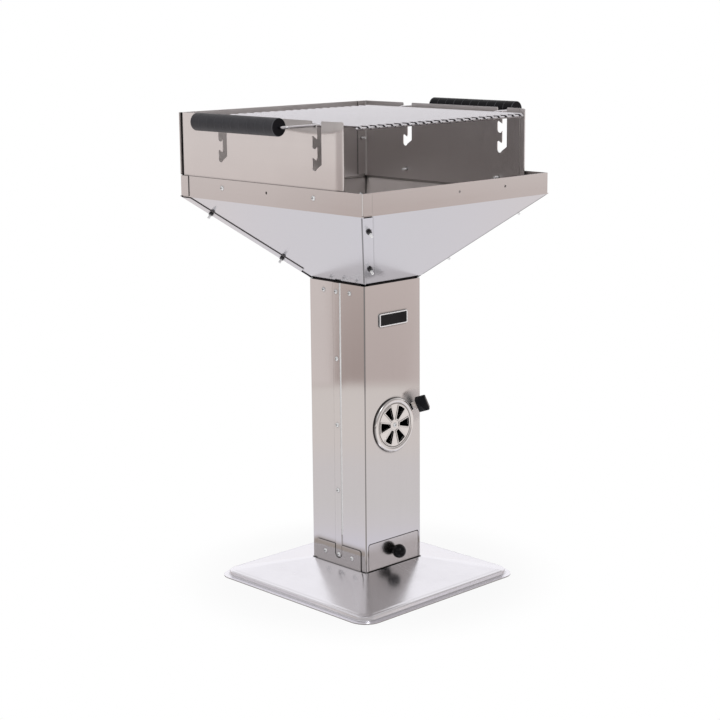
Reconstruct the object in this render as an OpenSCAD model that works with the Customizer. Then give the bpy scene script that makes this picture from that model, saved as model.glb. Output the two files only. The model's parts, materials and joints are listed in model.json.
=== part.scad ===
// Pedestal charcoal grill: a pressed foot, a square sheet column with an ash
// drawer and an air vent, a funnel fire bowl of four folded sheets, a
// three-sided wind guard with stepped slots, and a lift-out cooking grate
// with two roller grips. Millimetres. Origin on the floor on the column's
// axis, +Z up, the drawer and vent face -Y.

/* [Foot] */
// Half width of the flange on the floor
flange_half = 211.5; // [195:0.5:230]
// Corner radius of the flange
flange_corner_r = 25; // [15:1:40]
// Sheet thickness of the foot
foot_sheet = 2; // [1.5:0.1:3]
// Half width of the raised part at the floor
foot_half = 200; // [185:0.5:206]
// Height of the raised part's upright edge
foot_edge_z = 11; // [8:0.5:16]
// Height of the land
land_z = 38; // [30:0.5:50]
// Corner radius of the land
land_corner_r = 5; // [3:0.5:10]
// Depth of the land's upright edge
land_edge = 1; // [0.5:0.1:2]
// Width of the land's shelf inside the column's faces
land_shelf = 14; // [10:0.5:20]
// Distance of each upright ear's sides from the column's corners
ear_in = 14; // [10:0.5:20]
// Height of the ears' tops
ear_top_z = 78.5; // [70:0.5:90]
// Corner radius of the ears
ear_corner_r = 5; // [2:0.5:10]
// Height of the bottom of the notch in the side ears
ear_notch_z = 51.4; // [48:0.1:55]

/* [Column] */
// Half width of the square column
column_half = 75; // [60:0.5:90]
// Sheet thickness of column, bowl and guard
sheet = 1.5; // [1:0.1:2]
// Outer radius of the column's folds
column_fold_r = 3; // [2.5:0.1:5]
// Gap under the bowl at the column's face
neck_line = 4; // [2:0.5:6]
// Half width of the lap strip
lap_half = 8; // [6.5:0.1:10]
// Play round the lap strip's end in the ear's notch
lap_play = 1.7; // [1.6:0.1:2.5]
// Height of the lowest seam screw
seam_low_z = 58.8; // [56:0.1:62]
// Distance between seam screws
seam_pitch = 129.6; // [120:0.1:132]
// Number of seam screws on each side
seam_count = 5; // [2:1:6]
// Distance of the neck screws from the middle
neck_screw_at = 35.3; // [25:0.1:50]
// Distance of the foot screws from the middle
foot_screw_at = 37; // [25:0.5:50]
// Height of the foot screws
foot_screw_z = 58.5; // [52:0.5:66]

/* [Ash drawer] */
// Width of the column's front beside the drawer opening
drawer_jamb = 6; // [5:0.5:15]
// Height of the opening's top
drawer_open_top_z = 93; // [85:0.5:110]
// Radius of the opening's top corners
drawer_corner_r = 5; // [2:0.5:8]
// Gap round the drawer front
drawer_gap = 1.5; // [0.5:0.1:2]
// Gap under the drawer front
drawer_floor_gap = 0.8; // [0.5:0.1:2]
// Gap between the opening's sides and the ash tray
tray_side_gap = 3; // [2:0.5:10]
// Height of the tray's underside
tray_low_z = 41.3; // [41.2:0.1:45]
// Height of the tray's rim
tray_top_z = 86; // [70:0.5:88]
// Wall of the tray
tray_wall = 1; // [0.8:0.1:1.5]
// Distance of the tray's back from the column's rear face
tray_back_gap = 9; // [6:0.5:30]
// Diameter of the drawer's ball knob
ball_d = 27; // [22:0.5:32]
// Distance of the ball's middle from the column's face
ball_out = 14.5; // [12:0.5:20]
// Height of the knob
ball_z = 68; // [60:0.5:80]
// Diameter of the knob's neck
ball_neck_d = 14; // [10:0.5:18]
// Upper side of the runners' ledges
ledge_top_z = 41; // [40.5:0.1:41.1]
// Width of the tray's sides over the runners' ledges
ledge_lap = 10; // [6:0.5:16]
// Height of the runners' upright legs
runner_top_z = 70; // [65:0.5:72]
// Distance of the runners' front ends from the column's front face
runner_front_gap = 15; // [12:0.5:25]
// Gap between the tray's back and the stop
stop_gap = 0.3; // [0.2:0.1:1]

/* [Air vent] */
// Height of the vent's middle
vent_z = 318; // [250:1:400]
// Outer radius of the vent cover
vent_r = 53.3; // [48:0.1:60]
// Radius of the cover's rolled bead
bead_r = 5.4; // [4:0.1:6]
// Height of the cover's face over the column
face_out = 4.4; // [4:0.1:5]
// Sheet of the cover
cover_sheet = 1; // [0.8:0.1:1.2]
// Inner radius of the openings
open_in_r = 12.3; // [10:0.1:16]
// Outer radius of the openings
open_out_r = 38; // [32:0.1:40]
// Half angle of each opening
open_half_angle = 14.5; // [10:0.1:14.8]
// Number of openings
open_count = 6; // [4:1:6]
// Width of the pressed rib round each opening
rib_w = 1.6; // [1:0.1:2.5]
// Height of the rib over the cover's face
rib_h = 0.8; // [0.4:0.1:1.2]
// Radius of the shutter disc
disc_r = 41.5; // [40:0.1:43]
// Thickness of the shutter disc
disc_sheet = 1.2; // [1:0.1:1.5]
// Gap between disc and column
disc_gap = 0.3; // [0.2:0.1:0.5]
// Resting angle of the lever
lever_angle = 28.5; // [24:0.5:40]
// Turn that closes the vent
vent_turn = 30; // [25:1:30]
// Width of the lever
lever_w = 18; // [12:0.5:20]
// Radius at which the lever bends forward
lever_r = 58.5; // [56:0.5:66]
// Forward bend of the lever's tongue
lever_bend = 52; // [40:1:65]
// Width of the tongue
tongue_w = 17; // [8:0.5:18]
// Length of the tongue between its bend and the block knob
tongue_run = 10; // [9:0.5:14]
// Width of the block knob across the tongue
block_w = 30.5; // [24:0.5:36]
// Thickness of the block knob
block_t = 13; // [8:0.5:14]
// Length of the block knob along the tongue
block_l = 21.5; // [16:0.5:30]
// Share of the block knob's length that the tongue reaches into it
tongue_share = 0.35; // [0.2:0.05:0.8]
// Edge radius of the block knob
block_r = 3.5; // [1:0.5:5]
// Diameter of the sleeve that the disc turns on
spacer_d = 10; // [8:0.1:12]

/* [Badge] */
// Width of the badge
badge_w = 74; // [60:1:90]
// Height of the badge
badge_h = 25; // [18:1:32]
// Thickness of the badge
badge_t = 3; // [2:0.1:4]
// Corner radius of the badge
badge_r = 3; // [1:0.5:6]
// Width of its frame
badge_frame = 2.2; // [1:0.1:3]
// Depth of the field below the frame
badge_recess = 0.6; // [0.3:0.1:1]
// Thickness of the field
badge_field_t = 1; // [0.5:0.1:1.2]
// Height of the badge's middle
badge_z = 525; // [450:1:560]

/* [Fire bowl] */
// Half width at the bowl's rim
rim_half = 245; // [220:1:260]
// Height at which the slopes reach the column's width
neck_z = 598; // [580:1:610]
// Rise of the slopes
slope_rise = 155; // [130:1:180]
// Height of the collar
collar_h = 40; // [30:1:50]
// Width of the wrapped strip at the collar
collar_wrap = 23; // [15:1:30]
// Width of the wrapped strip along the hips
hip_wrap = 20; // [16:1:26]
// Distance of the strip's foot from the hip's lower end
hip_wrap_start = 18; // [10:1:40]
// Relief gap between the two strips
wrap_relief = 2; // [1:0.5:4]
// Outer radius of the collar's folds
collar_fold_r = 2.5; // [2:0.1:4]
// Height of the foot flange inside the column
neck_flange = 38; // [30:1:50]
// Distance of the foot flange's sides from the column's corners
neck_flange_in = 13; // [9:0.5:20]
// Gap between foot flange and column
neck_gap = 0.1; // [0.05:0.05:0.5]
// Distance of the rim's holes and screws below the rim
rim_hole_down = 16; // [10:0.5:22]
// Distance of the rim's holes from the middle
rim_hole_at = 124; // [100:1:150]
// Distance of the hip bolts from the hip
hip_bolt_in = 12; // [9:0.5:14]
// Places of the hip bolts, as shares of the hip's length
hip_bolt_share = [0.22, 0.772];

/* [Wind guard] */
// Gap between guard and collar
guard_gap = 0.1; // [0.05:0.05:0.5]
// Height of the guard's lower edge over the slopes' end
guard_lift = 4; // [3:0.5:8]
// Height of the guard over the rim
guard_rise = 118; // [100:1:150]
// Depth position of the side walls' front edge
guard_front_y = -194.5; // [-215:0.5:-180]
// Width of the front strip that bends inward
lip_w = 18.5; // [12:0.5:25]
// Bend of the front strip
lip_bend = 15; // [5:1:25]
// Width of the hem on the front strip
hem_w = 11; // [6:0.5:14]
// Radius of the walls' top front corner
guard_corner_r = 5; // [3:0.5:10]
// Width of the rear flanges
rear_flange = 25; // [20:0.5:35]
// Outer radius of the rear fold
rear_fold_r = 6; // [3:0.5:8]
// Height of the rear flange's lower edge over the guard's
rear_flange_lift = 3; // [1:0.5:8]
// Margin of the rear wall beyond the side walls
rear_margin = 3.6; // [0:0.1:6]
// Gap between the rim and the rear wall's margin
rear_margin_gap = 1.5; // [1:0.5:4]
// Distance of the corner screws from the side walls' outer faces
corner_screw_in = 15.4; // [13:0.1:18]
// Distance of the upper corner screws below the guard's top
corner_screw_down = 25; // [15:1:35]
// Distance between the corner screws
corner_screw_pitch = 51; // [40:1:60]

/* [Slots] */
// Distance of the handle wires from the grips' ends
wire_gap = 16; // [14:0.5:24]
// Width of the upright channel
channel_w = 12; // [10:0.5:16]
// Depth of the hooks beside the channel
hook_w = 12; // [10:0.5:16]
// Distance of the highest seat below the guard's top
seat_down = 11; // [8:0.5:20]
// Distance between seats
seat_pitch = 38; // [34:0.5:42]
// Number of seats in each slot
seat_count = 3; // [2:1:3]
// Radius of a seat
seat_r = 6; // [4:0.5:7]
// Height of a tooth's tip over its seat
tooth_rise = 4; // [2:0.5:6]
// Height from a seat to the ceiling above it
hook_high = 22.5; // [18:0.5:26]
// Fall of the ceiling at the tooth's tip
ceiling_fall = 4.5; // [2:0.5:6]
// Height of the slot's low end at the channel's front edge over the lowest seat
foot_rise = 12; // [6:0.5:16]
// Corner radius of the slot's mouth
mouth_r = 2; // [1:0.5:4]

/* [Cooking grate] */
// Number of bars
bar_count = 22; // [16:1:26]
// Distance of the outer bars' centre lines from the frame wires' ends
bar_side = 5; // [3:0.5:10]
// Diameter of a bar
bar_d = 4; // [3:0.5:6]
// Height of the bars' centre lines over the highest seats
bar_lift = 2.6; // [2:0.1:8]
// Gap between the bars' ends and the rear wall
grate_end_gap = 29.9; // [20:0.1:40]
// Run of the bars' bent ends
bar_end_run = 5.5; // [4:0.5:8]
// Drop of the bars' bent ends
bar_end_drop = 4; // [3:0.5:6]
// Diameter of the frame wires
frame_d = 5; // [4:0.5:7]
// Gap between the frame wires' ends and the side walls
grate_side_gap = 26.9; // [20:0.1:40]
// Share of the frame wire's and bar's radii by which they are welded into each other
weld_share = 0.15; // [0.05:0.05:0.3]

/* [Handles] */
// Diameter of the handle wires
wire_d = 5; // [4:0.5:7]
// Play between wire and seat
wire_play = 0.3; // [0.1:0.1:0.5]
// Inner end of the wire legs
wire_in = 6; // [2:1:60]
// Distance from the grate to where the wire starts to rise
rise_start = 2; // [1:0.5:5]
// Distance from the side wall to where the wire has risen
rise_end = 9.9; // [6:0.1:14]
// Swelling of the wire in its bends
wire_swell = 0.06; // [0.05:0.01:0.1]
// Length by which the straight wires reach into the bends
wire_merge = 0.6; // [0.3:0.1:0.8]
// Distance of the grips from the side walls
grip_out = 66.6; // [50:0.1:90]
// Bend radius of the wire
wire_bend_r = 12; // [8:1:14]
// Diameter of a grip
grip_d = 32; // [26:1:38]
// Length of a grip
grip_l = 222; // [180:1:226]
// Radial play of the grip on its wire
grip_play = 0.1; // [0.05:0.01:0.1]
// Distance between the grip's ring grooves
groove_pitch = 22; // [16:1:30]
// Number of ring grooves
groove_count = 9; // [5:1:12]
// Width of a groove
groove_w = 1.2; // [0.8:0.1:3]
// Depth of a groove
groove_deep = 0.3; // [0.2:0.1:1.5]
// Edge radius of a grip
grip_edge_r = 1.5; // [0.5:0.1:3]

/* [Charcoal grate] */
// Height of its underside over the bowl's neck
coal_rise = 43.5; // [35:0.5:60]
// Gap between the charcoal grate and the slopes
coal_gap = 0.5; // [0.4:0.1:1]
// Diameter of its wires
coal_d = 6; // [5:0.5:8]
// Distance between its wires
coal_pitch = 16; // [12:0.5:20]
// Number of its wires
coal_count = 13; // [9:2:13]
// Distance of its two cross wires from the middle
coal_cross_at = 60; // [40:1:80]

/* [Fasteners] */
// Diameter of screw heads
head_d = 9; // [8:0.1:10]
// Height of screw heads
head_h = 2.8; // [2:0.1:3.5]
// Diameter of screw shanks
shank_d = 4.8; // [4:0.1:5]
// Diameter of screw holes
hole_d = 5; // [4.9:0.1:6]
// Reach of the column's screws
short_l = 8; // [7:0.5:9]
// Reach of the guard's and bowl's screws
long_l = 15; // [12:0.5:18]
// Width across flats of the nuts
nut_af = 8; // [7:0.5:9]
// Height of the nuts
nut_h = 4; // [3:0.5:5]
// Width of the cross slots in the heads
cross_w = 1.2; // [0.8:0.1:1.6]
// Length of the cross slots
cross_l = 5; // [4:0.5:6]
// Depth of the cross slots
cross_deep = 1.2; // [0.8:0.1:1.6]

/* [Finish] */
// Colour of bare steel sheet
steel = "#c9c4c1";
// Colour of bright wire and screws
bright = "#dcdce0";
// Colour of the black moulded pieces
black = "#1c1c1f";

/* [Hidden] */
$fn = 48;
// Overrun of every cut
over = 1;
inner_half = column_half - sheet;
land_half = column_half + foot_sheet;
land_hole_half = column_half - land_shelf;
ear_half = column_half - ear_in;
drawer_open_half = column_half - drawer_jamb;
tray_half = drawer_open_half - tray_side_gap;
tray_back_y = column_half - tray_back_gap;
ledge_in = tray_half - ledge_lap;
runner_front_y = runner_front_gap - column_half;
neck_flange_half = column_half - neck_flange_in;
wire_at = grip_l / 2 + wire_gap;
column_top_z = neck_z - neck_line;
slope_top_z = neck_z + slope_rise;
rim_z = slope_top_z + collar_h;
rim_hole_z = rim_z - rim_hole_down;
guard_low_z = slope_top_z + guard_lift;
guard_top_z = rim_z + guard_rise;
rear_flange_z = guard_low_z + rear_flange_lift;
corner_screw_z = [guard_top_z - corner_screw_down - corner_screw_pitch, guard_top_z - corner_screw_down];
seat_high_z = guard_top_z - seat_down;
bar_z = seat_high_z + bar_lift;
slope_run = rim_half - column_half;
slope_tilt = atan(slope_rise / slope_run);
slope_l = sqrt(slope_run * slope_run + slope_rise * slope_rise);
hip_l = sqrt(slope_run * slope_run + slope_l * slope_l);
hip_turn = atan(slope_run / slope_l);
// Longest stretch of any half space
big = 2 * (rim_half + guard_top_z);
hip_bolt_at = hip_bolt_share * hip_l;
neck_at = inner_half - neck_gap;
collar_in = rim_half - sheet;
guard_at = collar_in - guard_gap;
guard_in = guard_at - sheet;
rear_out = collar_in - guard_gap;
rear_in = rear_out - sheet;
corner_screw_at = guard_at - corner_screw_in;
frame_reach = guard_in - grate_side_gap;
bar_reach = rear_in - grate_end_gap;
bar_pitch = 2 * (frame_reach - bar_side) / (bar_count - 1);
rise_from = frame_reach + rise_start;
rise_to = guard_in - rise_end;
grip_at = guard_at + grip_out;
coal_low_z = neck_z + coal_rise;
coal_half = column_half + coal_rise / tan(slope_tilt) - sheet / sin(slope_tilt) - coal_gap;
strip_out = column_half + sheet;
lap_start = lap_half + sheet;
joggle = sheet * (sqrt(2) - 1);
lap_end_z = ear_notch_z + lap_half + lap_play;
cover_in_h = face_out - cover_sheet;
bead_mid_r = vent_r - bead_r;
bead_mid_h = 0.1 * cover_sheet;
disc_out_h = disc_gap + disc_sheet;
wire_z = seat_high_z + wire_play + wire_d / 2;
weld = weld_share * (bar_d + frame_d) / 2;
frame_z = bar_z - (bar_d + frame_d) / 2 + weld;
leg_z = bar_z - (bar_d + wire_d) / 2 - wire_play / 2;
slot_front = wire_at + channel_w + hook_w - seat_r;
drawer_front_half = drawer_open_half - drawer_gap;
drawer_front_top = drawer_open_top_z - drawer_gap;
drawer_front_low = land_z + drawer_floor_gap;

// ---- shared shapes

// A square with rounded corners about the axis
module round_square(half, r) {
  inner = half - r;
  square([2 * half, 2 * inner], center = true);
  square([2 * inner, 2 * half], center = true);
  for (sx = [-1, 1], sy = [-1, 1])
    translate([sx * inner, sy * inner])
      circle(r);
}

module round_block(half, r, low, high) {
  translate([0, 0, low])
    linear_extrude(high - low)
      round_square(half, r);
}

// A quarter of a folded sheet in the first quadrant, about its fold's centre
module fold(r) {
  intersection() {
    difference() {
      circle(r);
      circle(r - sheet);
    }
    square([r, r]);
  }
}

// Moves children onto one of the four sides: 0 front, 1 right, 2 rear, 3 left
module on_side(side) {
  rotate([0, 0, 90 * side])
    children();
}

// A round hole along Y through a wall at the front
module front_hole(x, z, d, from_y, to_y) {
  translate([x, from_y - over, z])
    rotate([-90, 0, 0])
      cylinder(d = d, h = to_y - from_y + 2 * over);
}

// A pan head screw: the head's underside at the origin, the shank along -Z
module screw(l) {
  dome = head_d * head_d / (8 * head_h) + head_h / 2;
  difference() {
    union() {
      intersection() {
        cylinder(d = head_d, h = head_h);
        translate([0, 0, head_h - dome])
          sphere(dome);
      }
      translate([0, 0, -l])
        cylinder(d = shank_d, h = l + head_h / 2);
    }
    translate([-cross_l / 2, -cross_w / 2, head_h - cross_deep])
      cube([cross_l, cross_w, 2 * cross_deep]);
    translate([-cross_w / 2, -cross_l / 2, head_h - cross_deep])
      cube([cross_w, cross_l, 2 * cross_deep]);
  }
}

// A screw through the front, seen from the front
module front_screw(x, y, z, l) {
  translate([x, y, z])
    rotate([90, 0, 0])
      screw(l);
}

// A straight round wire between two points
module rod(a, b, d) {
  v = b - a;
  l = norm(v);
  translate(a)
    rotate([0, acos(v[2] / l), atan2(v[1], v[0])])
      cylinder(d = d, h = l, $fn = 24);
}

module ball(at, d) {
  translate(at)
    sphere(d = d, $fn = 24);
}

// ---- foot

module skirt(grow, low) {
  hull() {
    round_block(foot_half - grow, flange_corner_r - grow, low, foot_edge_z - grow / 2);
    round_block(land_half - grow, land_corner_r - grow / 2, land_z - land_edge - grow, land_z - grow);
  }
}

module ear() {
  difference() {
    translate([-ear_half, -land_half, land_z - foot_sheet])
      cube([2 * ear_half, foot_sheet, ear_top_z - land_z + foot_sheet]);
    for (sx = [-1, 1]) {
      translate([sx * ear_half, -land_half, ear_top_z])
        rotate([-90, 0, 0])
          difference() {
            translate([-ear_corner_r, -ear_corner_r, -over])
              cube([2 * ear_corner_r, 2 * ear_corner_r, foot_sheet + 2 * over]);
            translate([-sx * ear_corner_r, ear_corner_r, -2 * over])
              cylinder(r = ear_corner_r, h = foot_sheet + 4 * over);
          }
      front_hole(sx * foot_screw_at, foot_screw_z, hole_d, -land_half, -column_half);
    }
  }
}

module ear_notch() {
  r = lap_half + lap_play;
  front_hole(0, lap_end_z, 2 * r, -land_half, -column_half);
  translate([-r, -land_half - over, lap_end_z])
    cube([2 * r, foot_sheet + 2 * over, ear_top_z]);
}

module base_plate() {
  color(bright) {
    difference() {
      union() {
        round_block(flange_half, flange_corner_r + flange_half - foot_half, 0, foot_sheet);
        skirt(0, 0);
      }
      skirt(foot_sheet, -over);
      translate([0, 0, land_z])
        cube([2 * land_hole_half, 2 * land_hole_half, 2 * (land_z - foot_edge_z)], center = true);
      for (side = [1, 2, 3])
        on_side(side)
          translate([-ear_half, -column_half, land_z - 2 * foot_sheet])
            cube([2 * ear_half, column_half - land_hole_half + over, 4 * foot_sheet]);
    }
    for (side = [1, 3])
      on_side(side)
        difference() {
          ear();
          ear_notch();
        }
    on_side(2)
      ear();
  }
}

// ---- column

// Plan of the front shell's right half: front wall, fold, side and lap strip
module front_plan() {
  c = column_half - column_fold_r;
  translate([0, -column_half])
    square([c, sheet]);
  translate([c, -c])
    mirror([0, 1])
      fold(column_fold_r);
  polygon([[inner_half, -c], [column_half, -c], [column_half, -lap_start], [strip_out, -lap_half],
    [strip_out, lap_half], [column_half, lap_half], [column_half, joggle - lap_half],
    [inner_half, joggle - lap_start]]);
}

module lap_trim() {
  difference() {
    translate([inner_half - over, -lap_start - sheet, land_z - over])
      cube([2 * sheet + 2 * over, 2 * lap_start + sheet, lap_end_z - land_z + over]);
    translate([inner_half - 2 * over, 0, lap_end_z])
      rotate([0, 90, 0])
        cylinder(r = lap_half, h = 2 * sheet + 4 * over);
  }
}

module side_hole(y, z, from_x, to_x) {
  translate([from_x - over, y, z])
    rotate([0, 90, 0])
      cylinder(d = hole_d, h = to_x - from_x + 2 * over);
}

module wedge(grow) {
  r_in = open_in_r - grow;
  r_out = open_out_r + grow;
  shift = grow / sin(open_half_angle);
  intersection() {
    difference() {
      circle(r_out);
      circle(r_in);
    }
    translate([-shift, 0])
      polygon([[0, 0], [2 * r_out, -2 * r_out * tan(open_half_angle)],
        [2 * r_out, 2 * r_out * tan(open_half_angle)]]);
  }
}

module vent_openings(grow) {
  for (i = [0 : open_count - 1])
    rotate(i * 360 / open_count)
      wedge(grow);
}

// Places a flat shape, drawn with X right and Y up, on the column's front
module on_front(z, out, t) {
  translate([0, -column_half - out, z])
    rotate([90, 0, 0])
      linear_extrude(t)
        children();
}

module column_front_shell() {
  color(steel)
    difference() {
      for (s = [0, 1])
        mirror([s, 0, 0])
          translate([0, 0, land_z])
            linear_extrude(column_top_z - land_z)
              front_plan();
      for (s = [0, 1])
        mirror([s, 0, 0]) {
          lap_trim();
          for (i = [0 : seam_count - 1])
            side_hole(0, seam_low_z + i * seam_pitch, column_half, strip_out);
          side_hole(-neck_screw_at, seam_low_z + (seam_count - 1) * seam_pitch, inner_half, column_half);
          side_hole(-foot_screw_at, foot_screw_z, inner_half, column_half);
        }
      drawer_opening();
      on_front(vent_z, -2 * sheet, 3 * sheet)
        vent_openings(0);
      front_hole(0, vent_z, hole_d, -column_half, -inner_half);
    }
}

module drawer_opening() {
  h = drawer_open_top_z - land_z;
  on_front(land_z, -2 * sheet, 3 * sheet) {
    translate([-drawer_open_half, -over])
      square([2 * drawer_open_half, h - drawer_corner_r + over]);
    translate([-drawer_open_half + drawer_corner_r, 0])
      square([2 * (drawer_open_half - drawer_corner_r), h]);
    for (sx = [-1, 1])
      translate([sx * (drawer_open_half - drawer_corner_r), h - drawer_corner_r])
        circle(drawer_corner_r);
  }
}

module rear_plan() {
  c = column_half - column_fold_r;
  start = joggle - lap_half + lap_play / 2;
  translate([0, inner_half])
    square([c, sheet]);
  translate([c, c])
    fold(column_fold_r);
  translate([inner_half, start])
    square([sheet, c - start]);
}

module column_rear_shell() {
  color(steel)
    difference() {
      for (s = [0, 1])
        mirror([s, 0, 0])
          translate([0, 0, land_z])
            linear_extrude(column_top_z - land_z)
              rear_plan();
      for (s = [0, 1])
        mirror([s, 0, 0]) {
          for (i = [0 : seam_count - 1])
            side_hole(0, seam_low_z + i * seam_pitch, inner_half, column_half);
          side_hole(neck_screw_at, seam_low_z + (seam_count - 1) * seam_pitch, inner_half, column_half);
          side_hole(foot_screw_at, foot_screw_z, inner_half, column_half);
        }
      for (sx = [-1, 1]) {
        front_hole(sx * neck_screw_at, seam_low_z + (seam_count - 1) * seam_pitch, hole_d, inner_half, column_half);
        front_hole(sx * foot_screw_at, foot_screw_z, hole_d, inner_half, column_half);
      }
    }
}

module seam_screws() {
  color(bright)
    for (side = [1, 3], i = [0 : seam_count - 1])
      on_side(side)
        front_screw(0, -strip_out, seam_low_z + i * seam_pitch, short_l);
}

module foot_screws() {
  color(bright)
    for (side = [1, 2, 3], sx = [-1, 1])
      on_side(side)
        front_screw(sx * foot_screw_at, -land_half, foot_screw_z, short_l);
}

module neck_screws() {
  color(bright)
    for (side = [1, 2, 3], sx = [-1, 1])
      on_side(side)
        front_screw(sx * neck_screw_at, -column_half, seam_low_z + (seam_count - 1) * seam_pitch, short_l);
}

// ---- ash drawer

module drawer_runners() {
  leg_out = inner_half;
  leg_in = leg_out - sheet;
  ledge_low = ledge_top_z - sheet;
  back = inner_half - 2 * sheet;
  color(steel)
    for (s = [0, 1])
      mirror([s, 0, 0])
        difference() {
          union() {
            translate([leg_in, runner_front_y, ledge_low])
              cube([sheet, back - runner_front_y, runner_top_z - ledge_low]);
            translate([ledge_in, runner_front_y, ledge_low])
              cube([leg_out - ledge_in, back - runner_front_y, sheet]);
            translate([ledge_in, tray_back_y + stop_gap, ledge_low])
              cube([leg_out - ledge_in, sheet, runner_top_z - ledge_low]);
          }
          side_hole(-foot_screw_at, foot_screw_z, leg_in, leg_out);
          side_hole(foot_screw_at, foot_screw_z, leg_in, leg_out);
          side_hole(0, seam_low_z, leg_in, leg_out);
        }
}

module ash_drawer_front() {
  h = drawer_front_top - drawer_front_low;
  r = drawer_corner_r - drawer_gap / 2;
  color(steel)
    difference() {
      on_front(drawer_front_low, -sheet, sheet) {
        translate([-drawer_front_half, 0])
          square([2 * drawer_front_half, h - r]);
        translate([-drawer_front_half + r, 0])
          square([2 * (drawer_front_half - r), h]);
        for (sx = [-1, 1])
          translate([sx * (drawer_front_half - r), h - r])
            circle(r);
      }
      front_hole(0, ball_z, hole_d, -column_half, -inner_half);
    }
}

module ash_tray() {
  color(steel)
    difference() {
      translate([-tray_half, -inner_half, tray_low_z])
        cube([2 * tray_half, inner_half + tray_back_y, tray_top_z - tray_low_z]);
      translate([-tray_half + tray_wall, -inner_half + tray_wall, tray_low_z + tray_wall])
        cube([2 * (tray_half - tray_wall), inner_half + tray_back_y - 2 * tray_wall, tray_top_z]);
      front_hole(0, ball_z, hole_d, -inner_half, -inner_half + tray_wall);
    }
}

module drawer_knob() {
  bore_l = short_l - sheet - tray_wall + over;
  color(black)
    translate([0, -column_half, ball_z])
      rotate([90, 0, 0])
        difference() {
          union() {
            cylinder(d = ball_neck_d, h = ball_out);
            translate([0, 0, ball_out])
              sphere(d = ball_d, $fn = 64);
          }
          translate([0, 0, -over])
            cylinder(d = hole_d, h = bore_l + over);
        }
}

module drawer_knob_screw() {
  color(bright)
    translate([0, -inner_half + tray_wall, ball_z])
      rotate([-90, 0, 0])
        screw(short_l);
}

// ---- air vent

module cover_profile() {
  difference() {
    union() {
      translate([hole_d / 2, cover_in_h])
        square([bead_mid_r - hole_d / 2, cover_sheet]);
      translate([bead_mid_r, bead_mid_h])
        circle(bead_r);
    }
    translate([bead_mid_r, bead_mid_h])
      circle(bead_r - cover_sheet);
    translate([0, -bead_r - over])
      square([bead_mid_r, bead_r + over + cover_in_h]);
    translate([bead_mid_r - over, -bead_r - over])
      square([bead_r + 2 * over, bead_r + over]);
  }
}

module lever_notch() {
  half = lever_w / 2 + lap_play / 2;
  spread = asin(half / (vent_r - cover_sheet));
  r = vent_r + over;
  rotate([0, 0, lever_angle - spread])
    rotate_extrude(angle = vent_turn + 2 * spread)
      translate([bead_mid_r, -over])
        square([bead_r + over, disc_out_h + disc_gap + over]);
}

module vent_cover() {
  color(steel)
    translate([0, -column_half, vent_z])
      rotate([90, 0, 0])
        difference() {
          union() {
            rotate_extrude($fn = 96)
              cover_profile();
            translate([0, 0, face_out - cover_sheet / 2])
              linear_extrude(cover_sheet / 2 + rib_h)
                vent_openings(rib_w);
          }
          translate([0, 0, -over])
            linear_extrude(2 * face_out + over)
              vent_openings(0);
          lever_notch();
        }
}

// Moves children onto the lever's tongue: X along it from the bend, Z out of its lower face
module on_tongue() {
  translate([0, -column_half, vent_z])
    rotate([90, 0, 0])
      rotate([0, 0, lever_angle])
        translate([lever_r, 0, disc_gap])
          rotate([0, -lever_bend, 0])
            children();
}

module tongue() {
  translate([0, -tongue_w / 2, 0])
    cube([tongue_run + tongue_share * block_l, tongue_w, disc_sheet]);
}

module vent_disc() {
  color(steel) {
    translate([0, -column_half, vent_z])
      rotate([90, 0, 0])
        translate([0, 0, disc_gap])
          linear_extrude(disc_sheet)
            difference() {
              union() {
                circle(disc_r, $fn = 96);
                rotate(lever_angle)
                  translate([disc_r / 2, -lever_w / 2])
                    square([lever_r - disc_r / 2, lever_w]);
              }
              vent_openings(0);
              circle(d = spacer_d + 2 * grip_play, $fn = 64);
            }
    on_tongue()
      tongue();
  }
}

module vent_knob() {
  color(black)
    on_tongue()
      difference() {
        translate([tongue_run, 0, disc_sheet / 2])
          rotate([0, 90, 0])
            linear_extrude(block_l)
              block_plan();
        tongue();
      }
}

module block_plan() {
  x = block_t / 2 - block_r;
  y = block_w / 2 - block_r;
  square([block_t, 2 * y], center = true);
  square([2 * x, block_w], center = true);
  for (sx = [-1, 1], sy = [-1, 1])
    translate([sx * x, sy * y])
      circle(block_r);
}

module vent_spacer() {
  color(bright)
    translate([0, -column_half, vent_z])
      rotate([90, 0, 0])
        difference() {
          cylinder(d = spacer_d, h = cover_in_h, $fn = 64);
          translate([0, 0, -over])
            cylinder(d = hole_d, h = cover_in_h + 2 * over);
        }
}

module vent_pivot_screw() {
  color(bright)
    front_screw(0, -column_half - face_out, vent_z, long_l);
}

module vent_pivot_nut() {
  color(bright)
    translate([0, -inner_half, vent_z])
      rotate([-90, 0, 0])
        nut();
}

module nut() {
  difference() {
    cylinder(d = nut_af / cos(30), h = nut_h, $fn = 6);
    translate([0, 0, -over])
      cylinder(d = hole_d, h = nut_h + 2 * over);
  }
}

// ---- badge

module plate(w, h, r) {
  square([w, h - 2 * r], center = true);
  square([w - 2 * r, h], center = true);
  for (sx = [-1, 1], sy = [-1, 1])
    translate([sx * (w / 2 - r), sy * (h / 2 - r)])
      circle(r);
}

module name_plate() {
  w = badge_w - 2 * badge_frame;
  h = badge_h - 2 * badge_frame;
  color(bright)
    difference() {
      on_front(badge_z, 0, badge_t)
        plate(badge_w, badge_h, badge_r);
      on_front(badge_z, badge_t - badge_recess - badge_field_t, badge_t)
        plate(w, h, badge_r / 2);
    }
}

module name_plate_inlay() {
  w = badge_w - 2 * badge_frame;
  h = badge_h - 2 * badge_frame;
  color(black)
    on_front(badge_z, badge_t - badge_recess - badge_field_t, badge_field_t)
      plate(w, h, badge_r / 2);
}

// ---- fire bowl

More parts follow.
